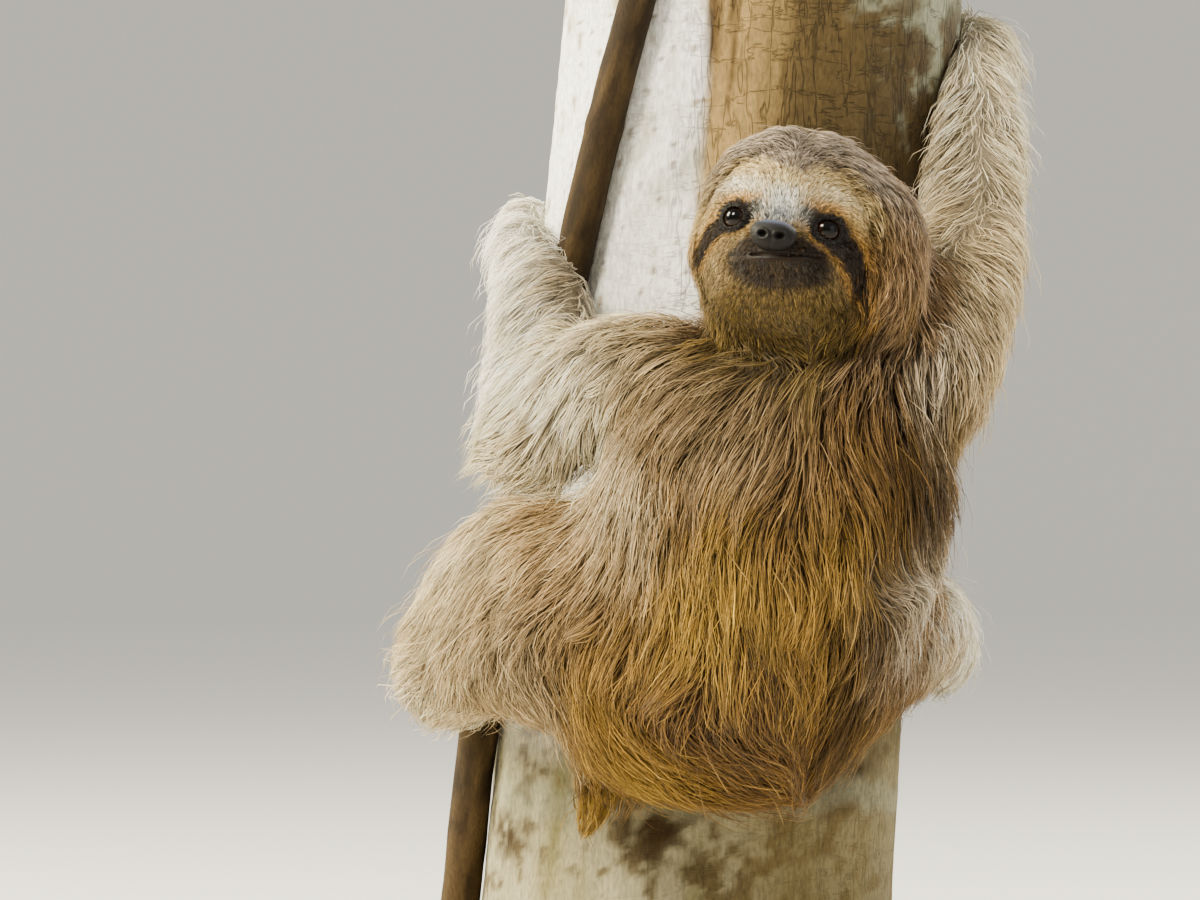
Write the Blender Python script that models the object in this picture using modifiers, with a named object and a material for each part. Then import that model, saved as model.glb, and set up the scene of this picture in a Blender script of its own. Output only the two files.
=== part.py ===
"""Brown-throated three-toed sloth, life size, hugging a short length of tree trunk on a display stand.

The model is in metres with +Z up. Its origin is the centre of the stand's underside. The sloth is seen
from its back by somebody who looks along +Y, so the animal's left limbs are on the -X side, and its head
is turned right round to face -Y. The forms reach out to the tips of the coat.

Angles round the trunk are in degrees: 0 faces -Y, 90 faces -X, 180 faces +Y.
"""

import math

import bmesh
import bpy
import numpy as np
from mathutils import Matrix, Vector

# Clearances between solids that touch
GAP = 0.0003
NO_GROWTH = 0.0
FLAT_ANGLE = math.radians(0.5)

# Display stand
BASE_RADIUS = 0.200
BASE_THICKNESS = 0.018
BASE_EDGE = 0.004
ROD_RADIUS = 0.009
ROD_SPREAD = 0.085
ROD_IN_BASE = 0.010
ROD_IN_TRUNK = 0.030
FLANGE_RADIUS = 0.022
FLANGE_THICKNESS = 0.005

# Cut length of trunk
TRUNK_BOTTOM = 0.078
TRUNK_TOP = 0.640
TRUNK_FOOT_RADIUS = 0.1105
TRUNK_TAPER = 0.0135
TRUNK_FOOT_X = -0.0127
TRUNK_LEAN = 0.0867
TRUNK_Y = 0.085
TRUNK_SWELL = 0.0018

# Liana that climbs the trunk
LIANA_RADIUS = 0.0105
LIANA_TOP_ANGLE = 35.0
LIANA_TOP = 0.610
LIANA_TWIST = 112.0
LIANA_TWIST_HEIGHT = 0.570

# Head: every size is in the head's own frame, which faces -Y before it is turned
HEAD_CENTRE = (0.0385, -0.103, 0.4430)
HEAD_YAW = -10.0
HEAD_PITCH = -12.0
HEAD_ROLL = 8.0
EYE_RADIUS = 0.0076
EYE_SPACING = 0.0475
EYE_HEIGHT = 0.0
EYE_DEPTH = -0.0345
SOCKET_RADIUS = 0.0086
NOSE_CENTRE = (0.0, -0.0570, -0.0110)
NOSE_HALF = (0.0100, 0.0060, 0.0074)
MOUTH_HALF_WIDTH = 0.0215
MOUTH_HEIGHT = -0.0245
MOUTH_SMILE = 0.0022
MOUTH_FRONT = -0.0570
MOUTH_WRAP = 0.0180
HEAD_FACES = 880
HEAD_VOXEL = 0.0026

# Claws: three on each hand and foot
CLAW_COUNT = 3
HAND_CLAW_SPACING = 0.0135
FOOT_CLAW_SPACING = 0.0120
CLAW_STATIONS = 6
CLAW_SIDES = 6

BODY_SIDES = 22
LIMB_SIDES = 12


# ---------------------------------------------------------------- places on and round the trunk


def trunk_centre(height):
    """Point of the leaning trunk's axis at a height."""
    return Vector((TRUNK_FOOT_X + (height - TRUNK_BOTTOM) * TRUNK_LEAN, TRUNK_Y, height))


def trunk_radius(angle, height):
    """Trunk radius at an angle in degrees and a height: a taper with a few low swellings."""
    turn = math.radians(angle)
    swell = math.sin(2 * turn + 9 * height) + 0.7 * math.sin(3 * turn - 14 * height + 1)
    return TRUNK_FOOT_RADIUS - TRUNK_TAPER * (height - TRUNK_BOTTOM) + TRUNK_SWELL * swell


def beside_trunk(angle, height, stand_off):
    """Point at an angle round the trunk, at a distance out from its bark."""
    turn = math.radians(angle)
    reach = float(trunk_radius(angle, height) + stand_off)
    return trunk_centre(height) + Vector((-math.sin(turn), -math.cos(turn), 0)) * reach


# ---------------------------------------------------------------- coat and flesh, by station
# A station is (x, y, z, half width across the form, half depth out from the trunk).


def round_trunk(angle, height, stand_off, across, deep):
    """A station placed by its angle round the trunk and its distance out from the bark."""
    return (*beside_trunk(angle, height, stand_off), across, deep)


TORSO = [
    (0.064, -0.066, 0.384, 0.052, 0.036),
    (0.056, -0.084, 0.362, 0.078, 0.060),
    (0.042, -0.093, 0.330, 0.092, 0.075),
    (0.024, -0.097, 0.290, 0.094, 0.081),
    (0.010, -0.097, 0.250, 0.092, 0.082),
    (0.001, -0.093, 0.216, 0.088, 0.077),
    (-0.002, -0.085, 0.188, 0.078, 0.064),
]
NECK = [
    (0.064, -0.078, 0.385, 0.054, 0.047),
    (0.070, -0.075, 0.417, 0.052, 0.045),
    (0.062, -0.064, 0.447, 0.040, 0.036),
]
TAIL = [
    (-0.050, -0.072, 0.182, 0.022, 0.016),
    (-0.060, -0.064, 0.156, 0.014, 0.012),
    (-0.067, -0.054, 0.136, 0.008, 0.007),
]
UPPER_ARM_LEFT = [
    (0.000, -0.087, 0.374, 0.036, 0.040),
    (-0.048, -0.080, 0.371, 0.038, 0.038),
    (-0.093, -0.054, 0.352, 0.034, 0.033),
]
ELBOW_TUFT_LEFT = [
    (-0.092, -0.052, 0.352, 0.022, 0.020),
    (-0.111, -0.049, 0.339, 0.015, 0.013),
    (-0.126, -0.046, 0.330, 0.006, 0.005),
]
FOREARM_LEFT = [
    (-0.090, -0.048, 0.356, 0.032, 0.031),
    (-0.086, -0.034, 0.396, 0.034, 0.032),
    (-0.087, -0.004, 0.426, 0.031, 0.029),
    round_trunk(74, 0.444, 0.019, 0.026, 0.020),
]
HAND_LEFT = [
    round_trunk(98, 0.452, 0.015, 0.023, 0.0155),
    round_trunk(112, 0.454, 0.015, 0.023, 0.0155),
    round_trunk(122, 0.455, 0.013, 0.020, 0.0125),
]
UPPER_ARM_RIGHT = [
    (0.098, -0.084, 0.364, 0.046, 0.044),
    (0.124, -0.052, 0.408, 0.037, 0.038),
    (0.137, -0.008, 0.450, 0.031, 0.033),
]
FOREARM_RIGHT = [
    (0.134, -0.014, 0.446, 0.030, 0.031),
    (0.1440, 0.024, 0.494, 0.029, 0.027),
    (0.1440, 0.056, 0.530, 0.027, 0.023),
    round_trunk(-88, 0.548, 0.018, 0.025, 0.0195),
]
HAND_RIGHT = [
    round_trunk(-104, 0.553, 0.015, 0.024, 0.0155),
    round_trunk(-118, 0.554, 0.015, 0.023, 0.0155),
    round_trunk(-128, 0.554, 0.013, 0.020, 0.0125),
]
THIGH_LEFT = [
    (-0.040, -0.085, 0.252, 0.052, 0.056),
    (-0.094, -0.070, 0.255, 0.067, 0.050),
    (-0.134, -0.041, 0.230, 0.035, 0.032),
]
KNEE_TUFT_LEFT = [
    (-0.136, -0.040, 0.230, 0.028, 0.024),
    (-0.152, -0.037, 0.226, 0.017, 0.014),
    (-0.160, -0.034, 0.223, 0.006, 0.005),
]
SHANK_LEFT = [
    (-0.137, -0.038, 0.226, 0.031, 0.028),
    round_trunk(68, 0.217, 0.029, 0.030, 0.026),
    round_trunk(86, 0.209, 0.021, 0.026, 0.021),
]
FOOT_LEFT = [
    round_trunk(104, 0.207, 0.0145, 0.0215, 0.015),
    round_trunk(116, 0.208, 0.0145, 0.0215, 0.015),
    round_trunk(126, 0.209, 0.0125, 0.0185, 0.012),
]
THIGH_RIGHT = [
    (0.046, -0.085, 0.228, 0.052, 0.056),
    (0.084, -0.046, 0.240, 0.043, 0.040),
    (0.110, -0.010, 0.252, 0.033, 0.030),
]
SHANK_RIGHT = [
    (0.108, -0.010, 0.249, 0.032, 0.029),
    round_trunk(-72, 0.236, 0.021, 0.030, 0.023),
    round_trunk(-88, 0.231, 0.018, 0.026, 0.019),
]
FOOT_RIGHT = [
    round_trunk(-106, 0.230, 0.0145, 0.0215, 0.015),
    round_trunk(-118, 0.231, 0.0145, 0.0215, 0.015),
    round_trunk(-128, 0.232, 0.0125, 0.0185, 0.012),
]
# Head forms: (centre, half sizes) in the head's own frame
HEAD_FORMS = [
    ((0.000, 0.005, 0.012), (0.049, 0.046, 0.045)),
    ((0.000, -0.010, -0.012), (0.049, 0.036, 0.038)),
    ((0.000, -0.026, 0.009), (0.037, 0.019, 0.020)),
    ((0.000, -0.042, -0.019), (0.021, 0.017, 0.014)),
    ((0.000, -0.029, -0.036), (0.028, 0.021, 0.018)),
    ((0.004, -0.008, -0.041), (0.040, 0.034, 0.023)),
    ((0.032, 0.012, 0.005), (0.038, 0.036, 0.044)),
    ((0.038, 0.010, -0.020), (0.034, 0.032, 0.036)),
    ((-0.018, 0.014, -0.006), (0.032, 0.034, 0.042)),
]

# Colours as the coat, skin and stand show them, in linear RGB
COLOURS = {
    "back_coat": (0.205, 0.125, 0.058),
    "limb_coat": (0.300, 0.205, 0.120),
    "shank_coat": (0.270, 0.220, 0.165),
    "face_coat": (0.360, 0.240, 0.120),
    "nose_skin": (0.020, 0.017, 0.018),
    "eye": (0.012, 0.007, 0.005),
    "claw_horn": (0.200, 0.140, 0.085),
    "bark": (0.330, 0.270, 0.190),
    "liana_bark": (0.110, 0.070, 0.042),
    "stand_board": (0.050, 0.034, 0.024),
    "stand_steel": (0.120, 0.120, 0.125),
}


# ---------------------------------------------------------------- scene helpers


def clear_scene():
    """Removes every object of the scene."""
    for obj in list(bpy.data.objects):
        bpy.data.objects.remove(obj, do_unlink=True)


def make_collection(name):
    """A new collection linked to the scene."""
    collection = bpy.data.collections.new(name)
    bpy.context.scene.collection.children.link(collection)
    return collection


def make_material(name, roughness, metallic=0.0):
    """A plain Principled material in the named colour."""
    material = bpy.data.materials.new(name)
    material.use_nodes = True
    shader = material.node_tree.nodes["Principled BSDF"]
    shader.inputs["Base Color"].default_value = (*COLOURS[name], 1.0)
    shader.inputs["Roughness"].default_value = roughness
    shader.inputs["Metallic"].default_value = metallic
    return material


def place(name, mesh, collection, material=None):
    """Adds a mesh to a collection as a named object, shaded smooth."""
    obj = bpy.data.objects.new(name, mesh)
    mesh.shade_smooth()
    mesh.set_sharp_from_angle(angle=math.radians(40))
    if material:
        mesh.materials.clear()
        mesh.materials.append(material)
    collection.objects.link(obj)
    return obj


def helper(name, mesh, cutters):
    """Adds a mesh that only cuts others: never rendered."""
    obj = place(name, mesh, cutters)
    obj.hide_render = True
    obj.display_type = "WIRE"
    return obj


def settled(obj):
    """A new mesh holding the object as its modifiers leave it."""
    graph = bpy.context.evaluated_depsgraph_get()
    return bpy.data.meshes.new_from_object(obj.evaluated_get(graph))


def islands(form):
    """The bmesh's separate bodies, each a set of faces."""
    left = set(form.faces)
    found = []
    while left:
        body = set()
        front = [left.pop()]
        while front:
            face = front.pop()
            body.add(face)
            for edge in face.edges:
                for other in edge.link_faces:
                    if other in left:
                        left.remove(other)
                        front.append(other)
        found.append(body)
    return found


def tidy_cut(mesh):
    """Deletes the scraps that a cut leaves loose, and joins the slivers of each flat."""
    form = bmesh.new()
    form.from_mesh(mesh)
    bodies = sorted(islands(form), key=lambda body: sum(face.calc_area() for face in body))
    scraps = [face for body in bodies[:-1] for face in body]
    bmesh.ops.delete(form, geom=scraps, context="FACES")
    bmesh.ops.dissolve_limit(form, angle_limit=FLAT_ANGLE, verts=form.verts, edges=form.edges)
    bmesh.ops.triangulate(form, faces=form.faces)
    form.to_mesh(mesh)
    form.free()


def cut(obj, cutters, joined=()):
    """Joins shapes to the object, then cuts each cutter's shape from it and keeps the largest body."""
    for operation, others in (("UNION", joined), ("DIFFERENCE", cutters)):
        for other in others:
            modifier = obj.modifiers.new(other.name, "BOOLEAN")
            modifier.operation = operation
            modifier.object = other
    mesh = settled(obj)
    obj.modifiers.clear()
    tidy_cut(mesh)
    old = obj.data
    obj.data = mesh
    bpy.data.meshes.remove(old)


# ---------------------------------------------------------------- shapes


def catmull_rom(values, spans):
    """Rows read from a smooth curve through the given rows, with this many steps per span."""
    rows = np.array(values, float)
    padded = np.vstack([2 * rows[0] - rows[1], rows, 2 * rows[-1] - rows[-2]])
    samples = []
    for start in range(len(rows) - 1):
        before, here, after, beyond = padded[start : start + 4]
        for step in range(spans):
            t = step / spans
            samples.append(
                0.5
                * (
                    2 * here
                    + (after - before) * t
                    + (2 * before - 5 * here + 4 * after - beyond) * t**2
                    + (3 * here - before - 3 * after + beyond) * t**3
                )
            )
    samples.append(rows[-1])
    return np.array(samples)


def unit(rows):
    """Rows scaled to length one."""
    return rows / np.linalg.norm(rows, axis=-1, keepdims=True)


def trunk_frames(centres):
    """Tangent, outward and sideways directions along a path, outward being away from the trunk."""
    tangents = unit(np.gradient(centres, axis=0))
    axis_points = np.array([trunk_centre(z) for z in centres[:, 2]])
    outward = centres - axis_points
    outward = unit(outward - (outward * tangents).sum(axis=1, keepdims=True) * tangents)
    return tangents, outward, np.cross(tangents, outward)


def dome(rings, direction, length, steps):
    """Rings that close a form with a rounded end, each a shrunken copy pushed along the direction."""
    last = rings[-1]
    centre = last.mean(axis=0)
    made = []
    for step in range(1, steps):
        turn = 0.5 * math.pi * step / steps
        made.append(centre + (last - centre) * math.cos(turn) + direction * length * math.sin(turn))
    return made, centre + direction * length


def closed_tube(name, rings, start_pole, end_pole):
    """A mesh from rings of points and one point that closes each end."""
    form = bmesh.new()
    rows = [[form.verts.new(point) for point in ring] for ring in rings]
    first = form.verts.new(start_pole)
    last = form.verts.new(end_pole)
    sides = len(rows[0])
    for side in range(sides):
        after = (side + 1) % sides
        form.faces.new((first, rows[0][after], rows[0][side]))
        form.faces.new((last, rows[-1][side], rows[-1][after]))
        for low, high in zip(rows, rows[1:]):
            form.faces.new((low[side], low[after], high[after], high[side]))
    bmesh.ops.recalc_face_normals(form, faces=form.faces)
    # The same diagonals in a form and in its cutter keep the clearance between them even.
    bmesh.ops.triangulate(form, faces=form.faces, quad_method="FIXED")
    mesh = bpy.data.meshes.new(name)
    form.to_mesh(mesh)
    form.free()
    return mesh


def loft(name, stations, sides=LIMB_SIDES, spans=2, grow=NO_GROWTH, first=0, last=None, rise=0.42, steps=3):
    """An elliptical form along a smooth path through the stations, from the first to the last named one.

    An end that stops short of the path's own end is flat, and drawn back by half a clearance, so that the
    next length of the limb can meet it. The other ends are domed, to a height of rise times the end's
    width, in this many steps.
    """
    last = len(stations) - 1 if last is None else last
    rows = catmull_rom(stations, spans)
    frames = trunk_frames(rows[:, :3])
    kept = slice(first * spans, last * spans + 1)
    rows = rows[kept]
    tangents, outward, sideways = (directions[kept] for directions in frames)
    turns = 2 * math.pi * np.arange(sides) / sides
    across = (rows[:, 3] + grow)[:, None, None] * np.cos(turns)[None, :, None]
    deep = (rows[:, 4] + grow)[:, None, None] * np.sin(turns)[None, :, None]
    rings = list(rows[:, None, :3] + across * sideways[:, None] + deep * outward[:, None])
    poles = []
    for end, direction, flat in ((0, -tangents[0], first > 0), (-1, tangents[-1], last < len(stations) - 1)):
        if flat:
            rings[end] = rings[end] - direction * (0.5 * GAP - grow)
            poles.append(rings[end].mean(axis=0))
            continue
        length = rise * (rows[end, 3] + rows[end, 4]) + grow
        ordered = rings if end else rings[::-1]
        made, pole = dome(ordered, direction, length, steps)
        ordered = ordered + made
        rings = ordered if end else ordered[::-1]
        poles.append(pole)
    return closed_tube(name, rings, *poles)


def ellipsoid(name, centre, half, turned, segments, rings):
    """An ellipsoid with its half sizes along the axes of the turned frame."""
    form = bmesh.new()
    bmesh.ops.create_uvsphere(form, u_segments=segments, v_segments=rings, radius=1.0)
    placing = turned @ Matrix.Translation(centre) @ Matrix.Diagonal((*half, 1.0))
    bmesh.ops.transform(form, matrix=placing, verts=form.verts)
    mesh = bpy.data.meshes.new(name)
    form.to_mesh(mesh)
    form.free()
    return mesh


def fused(name, meshes, voxel, faces):
    """One smooth closed form from overlapping ones, thinned to about this many triangles."""
    form = bmesh.new()
    for mesh in meshes:
        form.from_mesh(mesh)
        bpy.data.meshes.remove(mesh)
    joined = bpy.data.meshes.new(name)
    form.to_mesh(joined)
    form.free()
    obj = bpy.data.objects.new(name, joined)
    bpy.context.scene.collection.objects.link(obj)
    remesh = obj.modifiers.new("Remesh", "REMESH")
    remesh.mode = "VOXEL"
    remesh.voxel_size = voxel
    smooth = obj.modifiers.new("Smooth", "SMOOTH")
    smooth.factor = 0.5
    smooth.iterations = 14
    full = settled(obj)
    triangles = sum(len(face.vertices) - 2 for face in full.polygons)
    bpy.data.meshes.remove(full)
    thin = obj.modifiers.new("Decimate", "DECIMATE")
    thin.ratio = faces / triangles
    mesh = settled(obj)
    bpy.data.objects.remove(obj)
    mesh.name = name
    return mesh


# ---------------------------------------------------------------- perch and stand


def trunk_mesh(grow=NO_GROWTH, past=0.0, sides=30, courses=7):
    """The leaning length of trunk, or a cutter a little larger than it."""
    rings = []
    for height in np.linspace(TRUNK_BOTTOM - past, TRUNK_TOP + past, courses):
        turns = [360 * side / sides for side in range(sides)]
        rings.append([beside_trunk(angle, height, grow) for angle in turns])
    ends = trunk_centre(TRUNK_BOTTOM - past), trunk_centre(TRUNK_TOP + past)
    return closed_tube("trunk", rings, *ends)


def liana_stations():
    """Stations of the liana as it winds up the trunk."""
    stations = []
    for height in np.linspace(TRUNK_BOTTOM + 0.004, LIANA_TOP, 10):
        angle = LIANA_TOP_ANGLE + LIANA_TWIST * (LIANA_TWIST_HEIGHT - height)
        radius = LIANA_RADIUS * (1.05 - 0.18 * height)
        stations.append(round_trunk(angle, height, radius + 0.0008, radius, radius))
    return stations


def rod_mesh():
    """A turned steel rod with a flange that sits on the base."""
    foot = BASE_THICKNESS + GAP
    top = TRUNK_BOTTOM + ROD_IN_TRUNK
    profile = [
        (0.0, top),
        (ROD_RADIUS, top),
        (ROD_RADIUS, foot + FLANGE_THICKNESS),
        (FLANGE_RADIUS - 0.002, foot + FLANGE_THICKNESS),
        (FLANGE_RADIUS, foot + FLANGE_THICKNESS - 0.002),
        (FLANGE_RADIUS, foot),
        (ROD_RADIUS, foot),
        (ROD_RADIUS, BASE_THICKNESS - ROD_IN_BASE),
        (0.0, BASE_THICKNESS - ROD_IN_BASE),
    ]
    mesh = bpy.data.meshes.new("rod")
    edges = [(point, point + 1) for point in range(len(profile) - 1)]
    mesh.from_pydata([(x, 0.0, z) for x, z in profile], edges, [])
    return mesh


def add_screw(obj, steps=12):
    """Turns a profile round the object's own Z axis."""
    screw = obj.modifiers.new("Screw", "SCREW")
    screw.steps = steps
    screw.render_steps = steps
    screw.use_merge_vertices = True
    screw.merge_threshold = 0.00001


def cylinder(name, radius, low, high, x=0.0, y=0.0, segments=12):
    """An upright cylinder between two heights."""
    form = bmesh.new()
    bmesh.ops.create_cone(
        form, cap_ends=True, segments=segments, radius1=radius, radius2=radius, depth=high - low
    )
    bmesh.ops.translate(form, vec=(x, y, 0.5 * (low + high)), verts=form.verts)
    mesh = bpy.data.meshes.new(name)
    form.to_mesh(mesh)
    form.free()
    return mesh


def build_stand(parts, cutters):
    """The round base and two rods, with the sockets that hold them."""
    board = make_material("stand_board", 0.45)
    steel = make_material("stand_steel", 0.35, metallic=1.0)
    base = place("stand_base", cylinder("base", BASE_RADIUS, 0.0, BASE_THICKNESS, segments=40), parts, board)
    sockets = []
    for side, end in (("left", -1), ("right", 1)):
        x = TRUNK_FOOT_X + 0.5 * end * ROD_SPREAD
        rod = place(f"stand_rod_{side}", rod_mesh(), parts, steel)
        rod.location = (x, TRUNK_Y - 0.02, 0)
        add_screw(rod)
        low = BASE_THICKNESS - ROD_IN_BASE - GAP
        high = TRUNK_BOTTOM + ROD_IN_TRUNK + GAP
        hole = cylinder("rod_socket", ROD_RADIUS + GAP, low, high, x, TRUNK_Y - 0.02)
        sockets.append(helper(f"rod_socket_{side}", hole, cutters))
    cut(base, sockets)
    bevel = base.modifiers.new("Bevel", "BEVEL")
    bevel.width = BASE_EDGE
    bevel.segments = 1
    bevel.limit_method = "WEIGHT"
    weights = base.data.attributes.new("bevel_weight_edge", "FLOAT", "EDGE")
    for edge in base.data.edges:
        ends = [base.data.vertices[index].co for index in edge.vertices]
        on_rim = all(end.z > BASE_THICKNESS - GAP and end.xy.length > 0.99 * BASE_RADIUS for end in ends)
        weights.data[edge.index].value = 1.0 if on_rim else 0.0
    return sockets


def build_perch(parts, cutters, sockets):
    """The trunk and its liana, and the cutters that shape the coat where it presses on them."""
    trunk = place("perch_trunk", trunk_mesh(), parts, make_material("bark", 0.85))
    cut(trunk, sockets)
    stations = liana_stations()
    liana = loft("liana", stations, sides=8, spans=1)
    place("perch_liana", liana, parts, make_material("liana_bark", 0.7))
    return [
        helper("trunk_cutter", trunk_mesh(grow=GAP, past=0.02), cutters),
        helper("liana_cutter", loft("liana_cutter", stations, sides=8, spans=1, grow=GAP), cutters),
    ]


# ---------------------------------------------------------------- head


def head_frame():
    """The head's own frame in the model's."""
    turned = Matrix.Rotation(math.radians(HEAD_YAW), 4, "Z")
    turned = turned @ Matrix.Rotation(math.radians(HEAD_PITCH), 4, "X")
    turned = turned @ Matrix.Rotation(math.radians(HEAD_ROLL), 4, "Y")
    return Matrix.Translation(HEAD_CENTRE) @ turned


def mouth_mesh(frame):
    """A thin curved blade along the lips, which cuts the closed mouth's line."""
    rings = []
    for step in np.linspace(-1, 1, 11):
        x = MOUTH_HALF_WIDTH * step
        y = MOUTH_FRONT + MOUTH_WRAP * step**2
        z = MOUTH_HEIGHT + MOUTH_SMILE * step**2
        ahead = Vector((1, 2 * MOUTH_WRAP * step / MOUTH_HALF_WIDTH, 0)).normalized()
        inward = Vector((-ahead.y, ahead.x, 0))
        half_height = 0.0011 - 0.0007 * abs(step)
        ring = []
        for turn in (0, 90, 180, 270):
            deep = 0.0045 * math.cos(math.radians(turn))
            tall = half_height * math.sin(math.radians(turn))
            ring.append(frame @ (Vector((x, y, z)) + inward * deep + Vector((0, 0, tall))))
        rings.append(ring)
    ends = [sum(ring, Vector()) / len(ring) for ring in (rings[0], rings[-1])]
    return closed_tube("mouth", rings, *ends)


def build_head(parts, cutters):
    """The eyes and nose pad, and the head with what has still to be carved from it."""
    frame = head_frame()
    lumps = [ellipsoid("lump", centre, half, frame, 28, 16) for centre, half in HEAD_FORMS]
    mesh = fused("head", lumps, HEAD_VOXEL, HEAD_FACES)
    head = place("head", mesh, parts, make_material("face_coat", 0.9))
    carving = [helper("mouth_cutter", mouth_mesh(frame), cutters)]
    # The head looks back over the body, so its own right eye is on the -X side.
    eye = make_material("eye", 0.08)
    for side, end in (("right", -1), ("left", 1)):
        centre = Vector((0.5 * end * EYE_SPACING, EYE_DEPTH, EYE_HEIGHT))
        ball = ellipsoid("eye", centre, (EYE_RADIUS,) * 3, frame, 10, 7)
        place(f"eye_{side}", ball, parts, eye)
        seat = (EYE_RADIUS + GAP,) * 3
        carving.append(helper(f"eye_seat_{side}", ellipsoid("seat", centre, seat, frame, 10, 7), cutters))
        ahead = centre + Vector((0.12 * end * EYE_RADIUS, -1.05 * EYE_RADIUS, 0))
        opening = (SOCKET_RADIUS, 0.9 * SOCKET_RADIUS, 0.8 * SOCKET_RADIUS)
        lids = ellipsoid("socket", ahead, opening, frame, 10, 6)
        carving.append(helper(f"eye_socket_{side}", lids, cutters))
    nose = ellipsoid("nose", Vector(NOSE_CENTRE), NOSE_HALF, frame, 10, 6)
    place("nose", nose, parts, make_material("nose_skin", 0.4))
    bed = [size + GAP for size in NOSE_HALF]
    carving.append(helper("nose_cutter", ellipsoid("bed", Vector(NOSE_CENTRE), bed, frame, 10, 6), cutters))
    return head, carving


# ---------------------------------------------------------------- claws


def claw_stations(angle, way, height, length, arch):
    """Stations of one hooked claw that starts in the fingers and curves back onto the bark.

    The claw runs round the trunk in the direction of way. Its stand-off follows a sine arch that sinks
    to the bark at the tip, and its section tapers to a blunt point.
    """
    stations = []
    for t in np.linspace(0, 1, CLAW_STATIONS):
        stand_off = 0.0125 * (1 - t) ** 1.4 + arch * math.sin(math.pi * t**0.9) + 0.0022 * t
        thick = 0.0034 * (1 - t) ** 0.6 + 0.0008
        wide = 0.0024 * (1 - t) ** 0.6 + 0.0007
        stations.append(round_trunk(angle + way * length * t, height, stand_off, wide, thick))
    return stations


def build_claws(parts, cutters):
    """Three claws on each hand and foot, and the cutters for their beds, by limb."""
    horn = make_material("claw_horn", 0.35)
    rows = {
        "hand_left": (117, 1, 0.455, HAND_CLAW_SPACING, 33, 0.0085),
        "hand_right": (-123, -1, 0.554, HAND_CLAW_SPACING, 33, 0.0085),
        "foot_left": (122, 1, 0.209, FOOT_CLAW_SPACING, 27, 0.0070),
        "foot_right": (-124, -1, 0.232, FOOT_CLAW_SPACING, 27, 0.0070),
    }
    beds = {}
    for limb, (angle, way, height, spacing, length, arch) in rows.items():
        beds[limb] = []
        for claw in range(CLAW_COUNT):
            off = claw - (CLAW_COUNT - 1) / 2
            reach = length * (1 - 0.06 * abs(off))
            stations = claw_stations(angle, way, height + off * spacing, reach, arch)
            name = f"claw_{limb}_{claw + 1}"
            place(name, loft(name, stations, sides=CLAW_SIDES, spans=1, steps=1), parts, horn)
            bed = loft(f"bed_{name}", stations, sides=CLAW_SIDES, spans=1, steps=1, grow=GAP)
            beds[limb].append(helper(f"bed_{name}", bed, cutters))
    return beds


# ---------------------------------------------------------------- body


def build_body(parts, cutters, perch, head, carving, beds):
    """Torso, neck, tail and limbs, each trimmed by whatever it presses against, and the head last."""
    back = make_material("back_coat", 0.9)
    limb = make_material("limb_coat", 0.9)
    shank = make_material("shank_coat", 0.9)

    def form(name, stations, material, trims, tuft=None, **shape):
        """One named part of the body, with its tuft, and the cutters it gives its neighbours."""
        obj = place(name, loft(name, stations, **shape), parts, material)
        own = [helper(f"{name}_cutter", loft(name, stations, grow=GAP, **shape), cutters)]
        joined = []
        if tuft:
            joined.append(helper(f"{name}_tuft", loft(name, tuft, sides=8), cutters))
            own.append(helper(f"{name}_tuft_cutter", loft(name, tuft, sides=8, grow=GAP), cutters))
        cut(obj, perch + trims, joined)
        return own

    torso = form("torso", TORSO, back, [], sides=BODY_SIDES, rise=0.22)
    neck = form("neck", NECK, back, torso)
    form("tail", TAIL, back, torso, sides=8)
    trunk_and_neck = torso + neck
    arm_left = form("upper_arm_left", UPPER_ARM_LEFT, limb, trunk_and_neck, tuft=ELBOW_TUFT_LEFT)
    arm_right = form("upper_arm_right", UPPER_ARM_RIGHT, limb, trunk_and_neck)
    thigh_left = form("thigh_left", THIGH_LEFT, limb, torso + arm_left, tuft=KNEE_TUFT_LEFT)
    thigh_right = form("thigh_right", THIGH_RIGHT, shank, torso)

    lower = [
        ("forearm_left", FOREARM_LEFT, "hand_left", HAND_LEFT, limb, arm_left + torso + thigh_left),
        ("forearm_right", FOREARM_RIGHT, "hand_right", HAND_RIGHT, limb, arm_right),
        ("shank_left", SHANK_LEFT, "foot_left", FOOT_LEFT, shank, thigh_left + torso),
        ("shank_right", SHANK_RIGHT, "foot_right", FOOT_RIGHT, shank, thigh_right + torso),
    ]
    for name, stations, end_name, end_stations, material, trims in lower:
        joint = len(stations)
        form(name, stations + end_stations, material, trims, last=joint)
        form(end_name, stations + end_stations, material, beds[end_name], first=joint)

    cut(head, perch + trunk_and_neck + arm_left + arm_right + carving)


def build():
    """The whole model."""
    clear_scene()
    parts = make_collection("three_toed_sloth")
    cutters = make_collection("cutters")
    sockets = build_stand(parts, cutters)
    perch = build_perch(parts, cutters, sockets)
    head, carving = build_head(parts, cutters)
    beds = build_claws(parts, cutters)
    build_body(parts, cutters, perch, head, carving, beds)


build()
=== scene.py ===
"""A three-toed sloth as a still museum model, clinging to a cut length of tree trunk on a display stand.

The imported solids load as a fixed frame. One skin, worked out from the solids of flesh and lying inside
them by the coat's depth, replaces them all. The coat grows on that skin as thin solid locks that follow
the lie of the hair and share the skin's markings. Eyes, nose pad, claws, trunk, liana and stand are
pieces of their own. Lengths are in metres, +Z is up, and the animal's back faces -Y.
"""

import itertools
import logging
import math
from dataclasses import dataclass, field
from enum import Enum, StrEnum
from typing import Any, Sequence

import bmesh
import bpy
import numpy as np
import openvdb
from mathutils import Matrix, Vector

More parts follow.
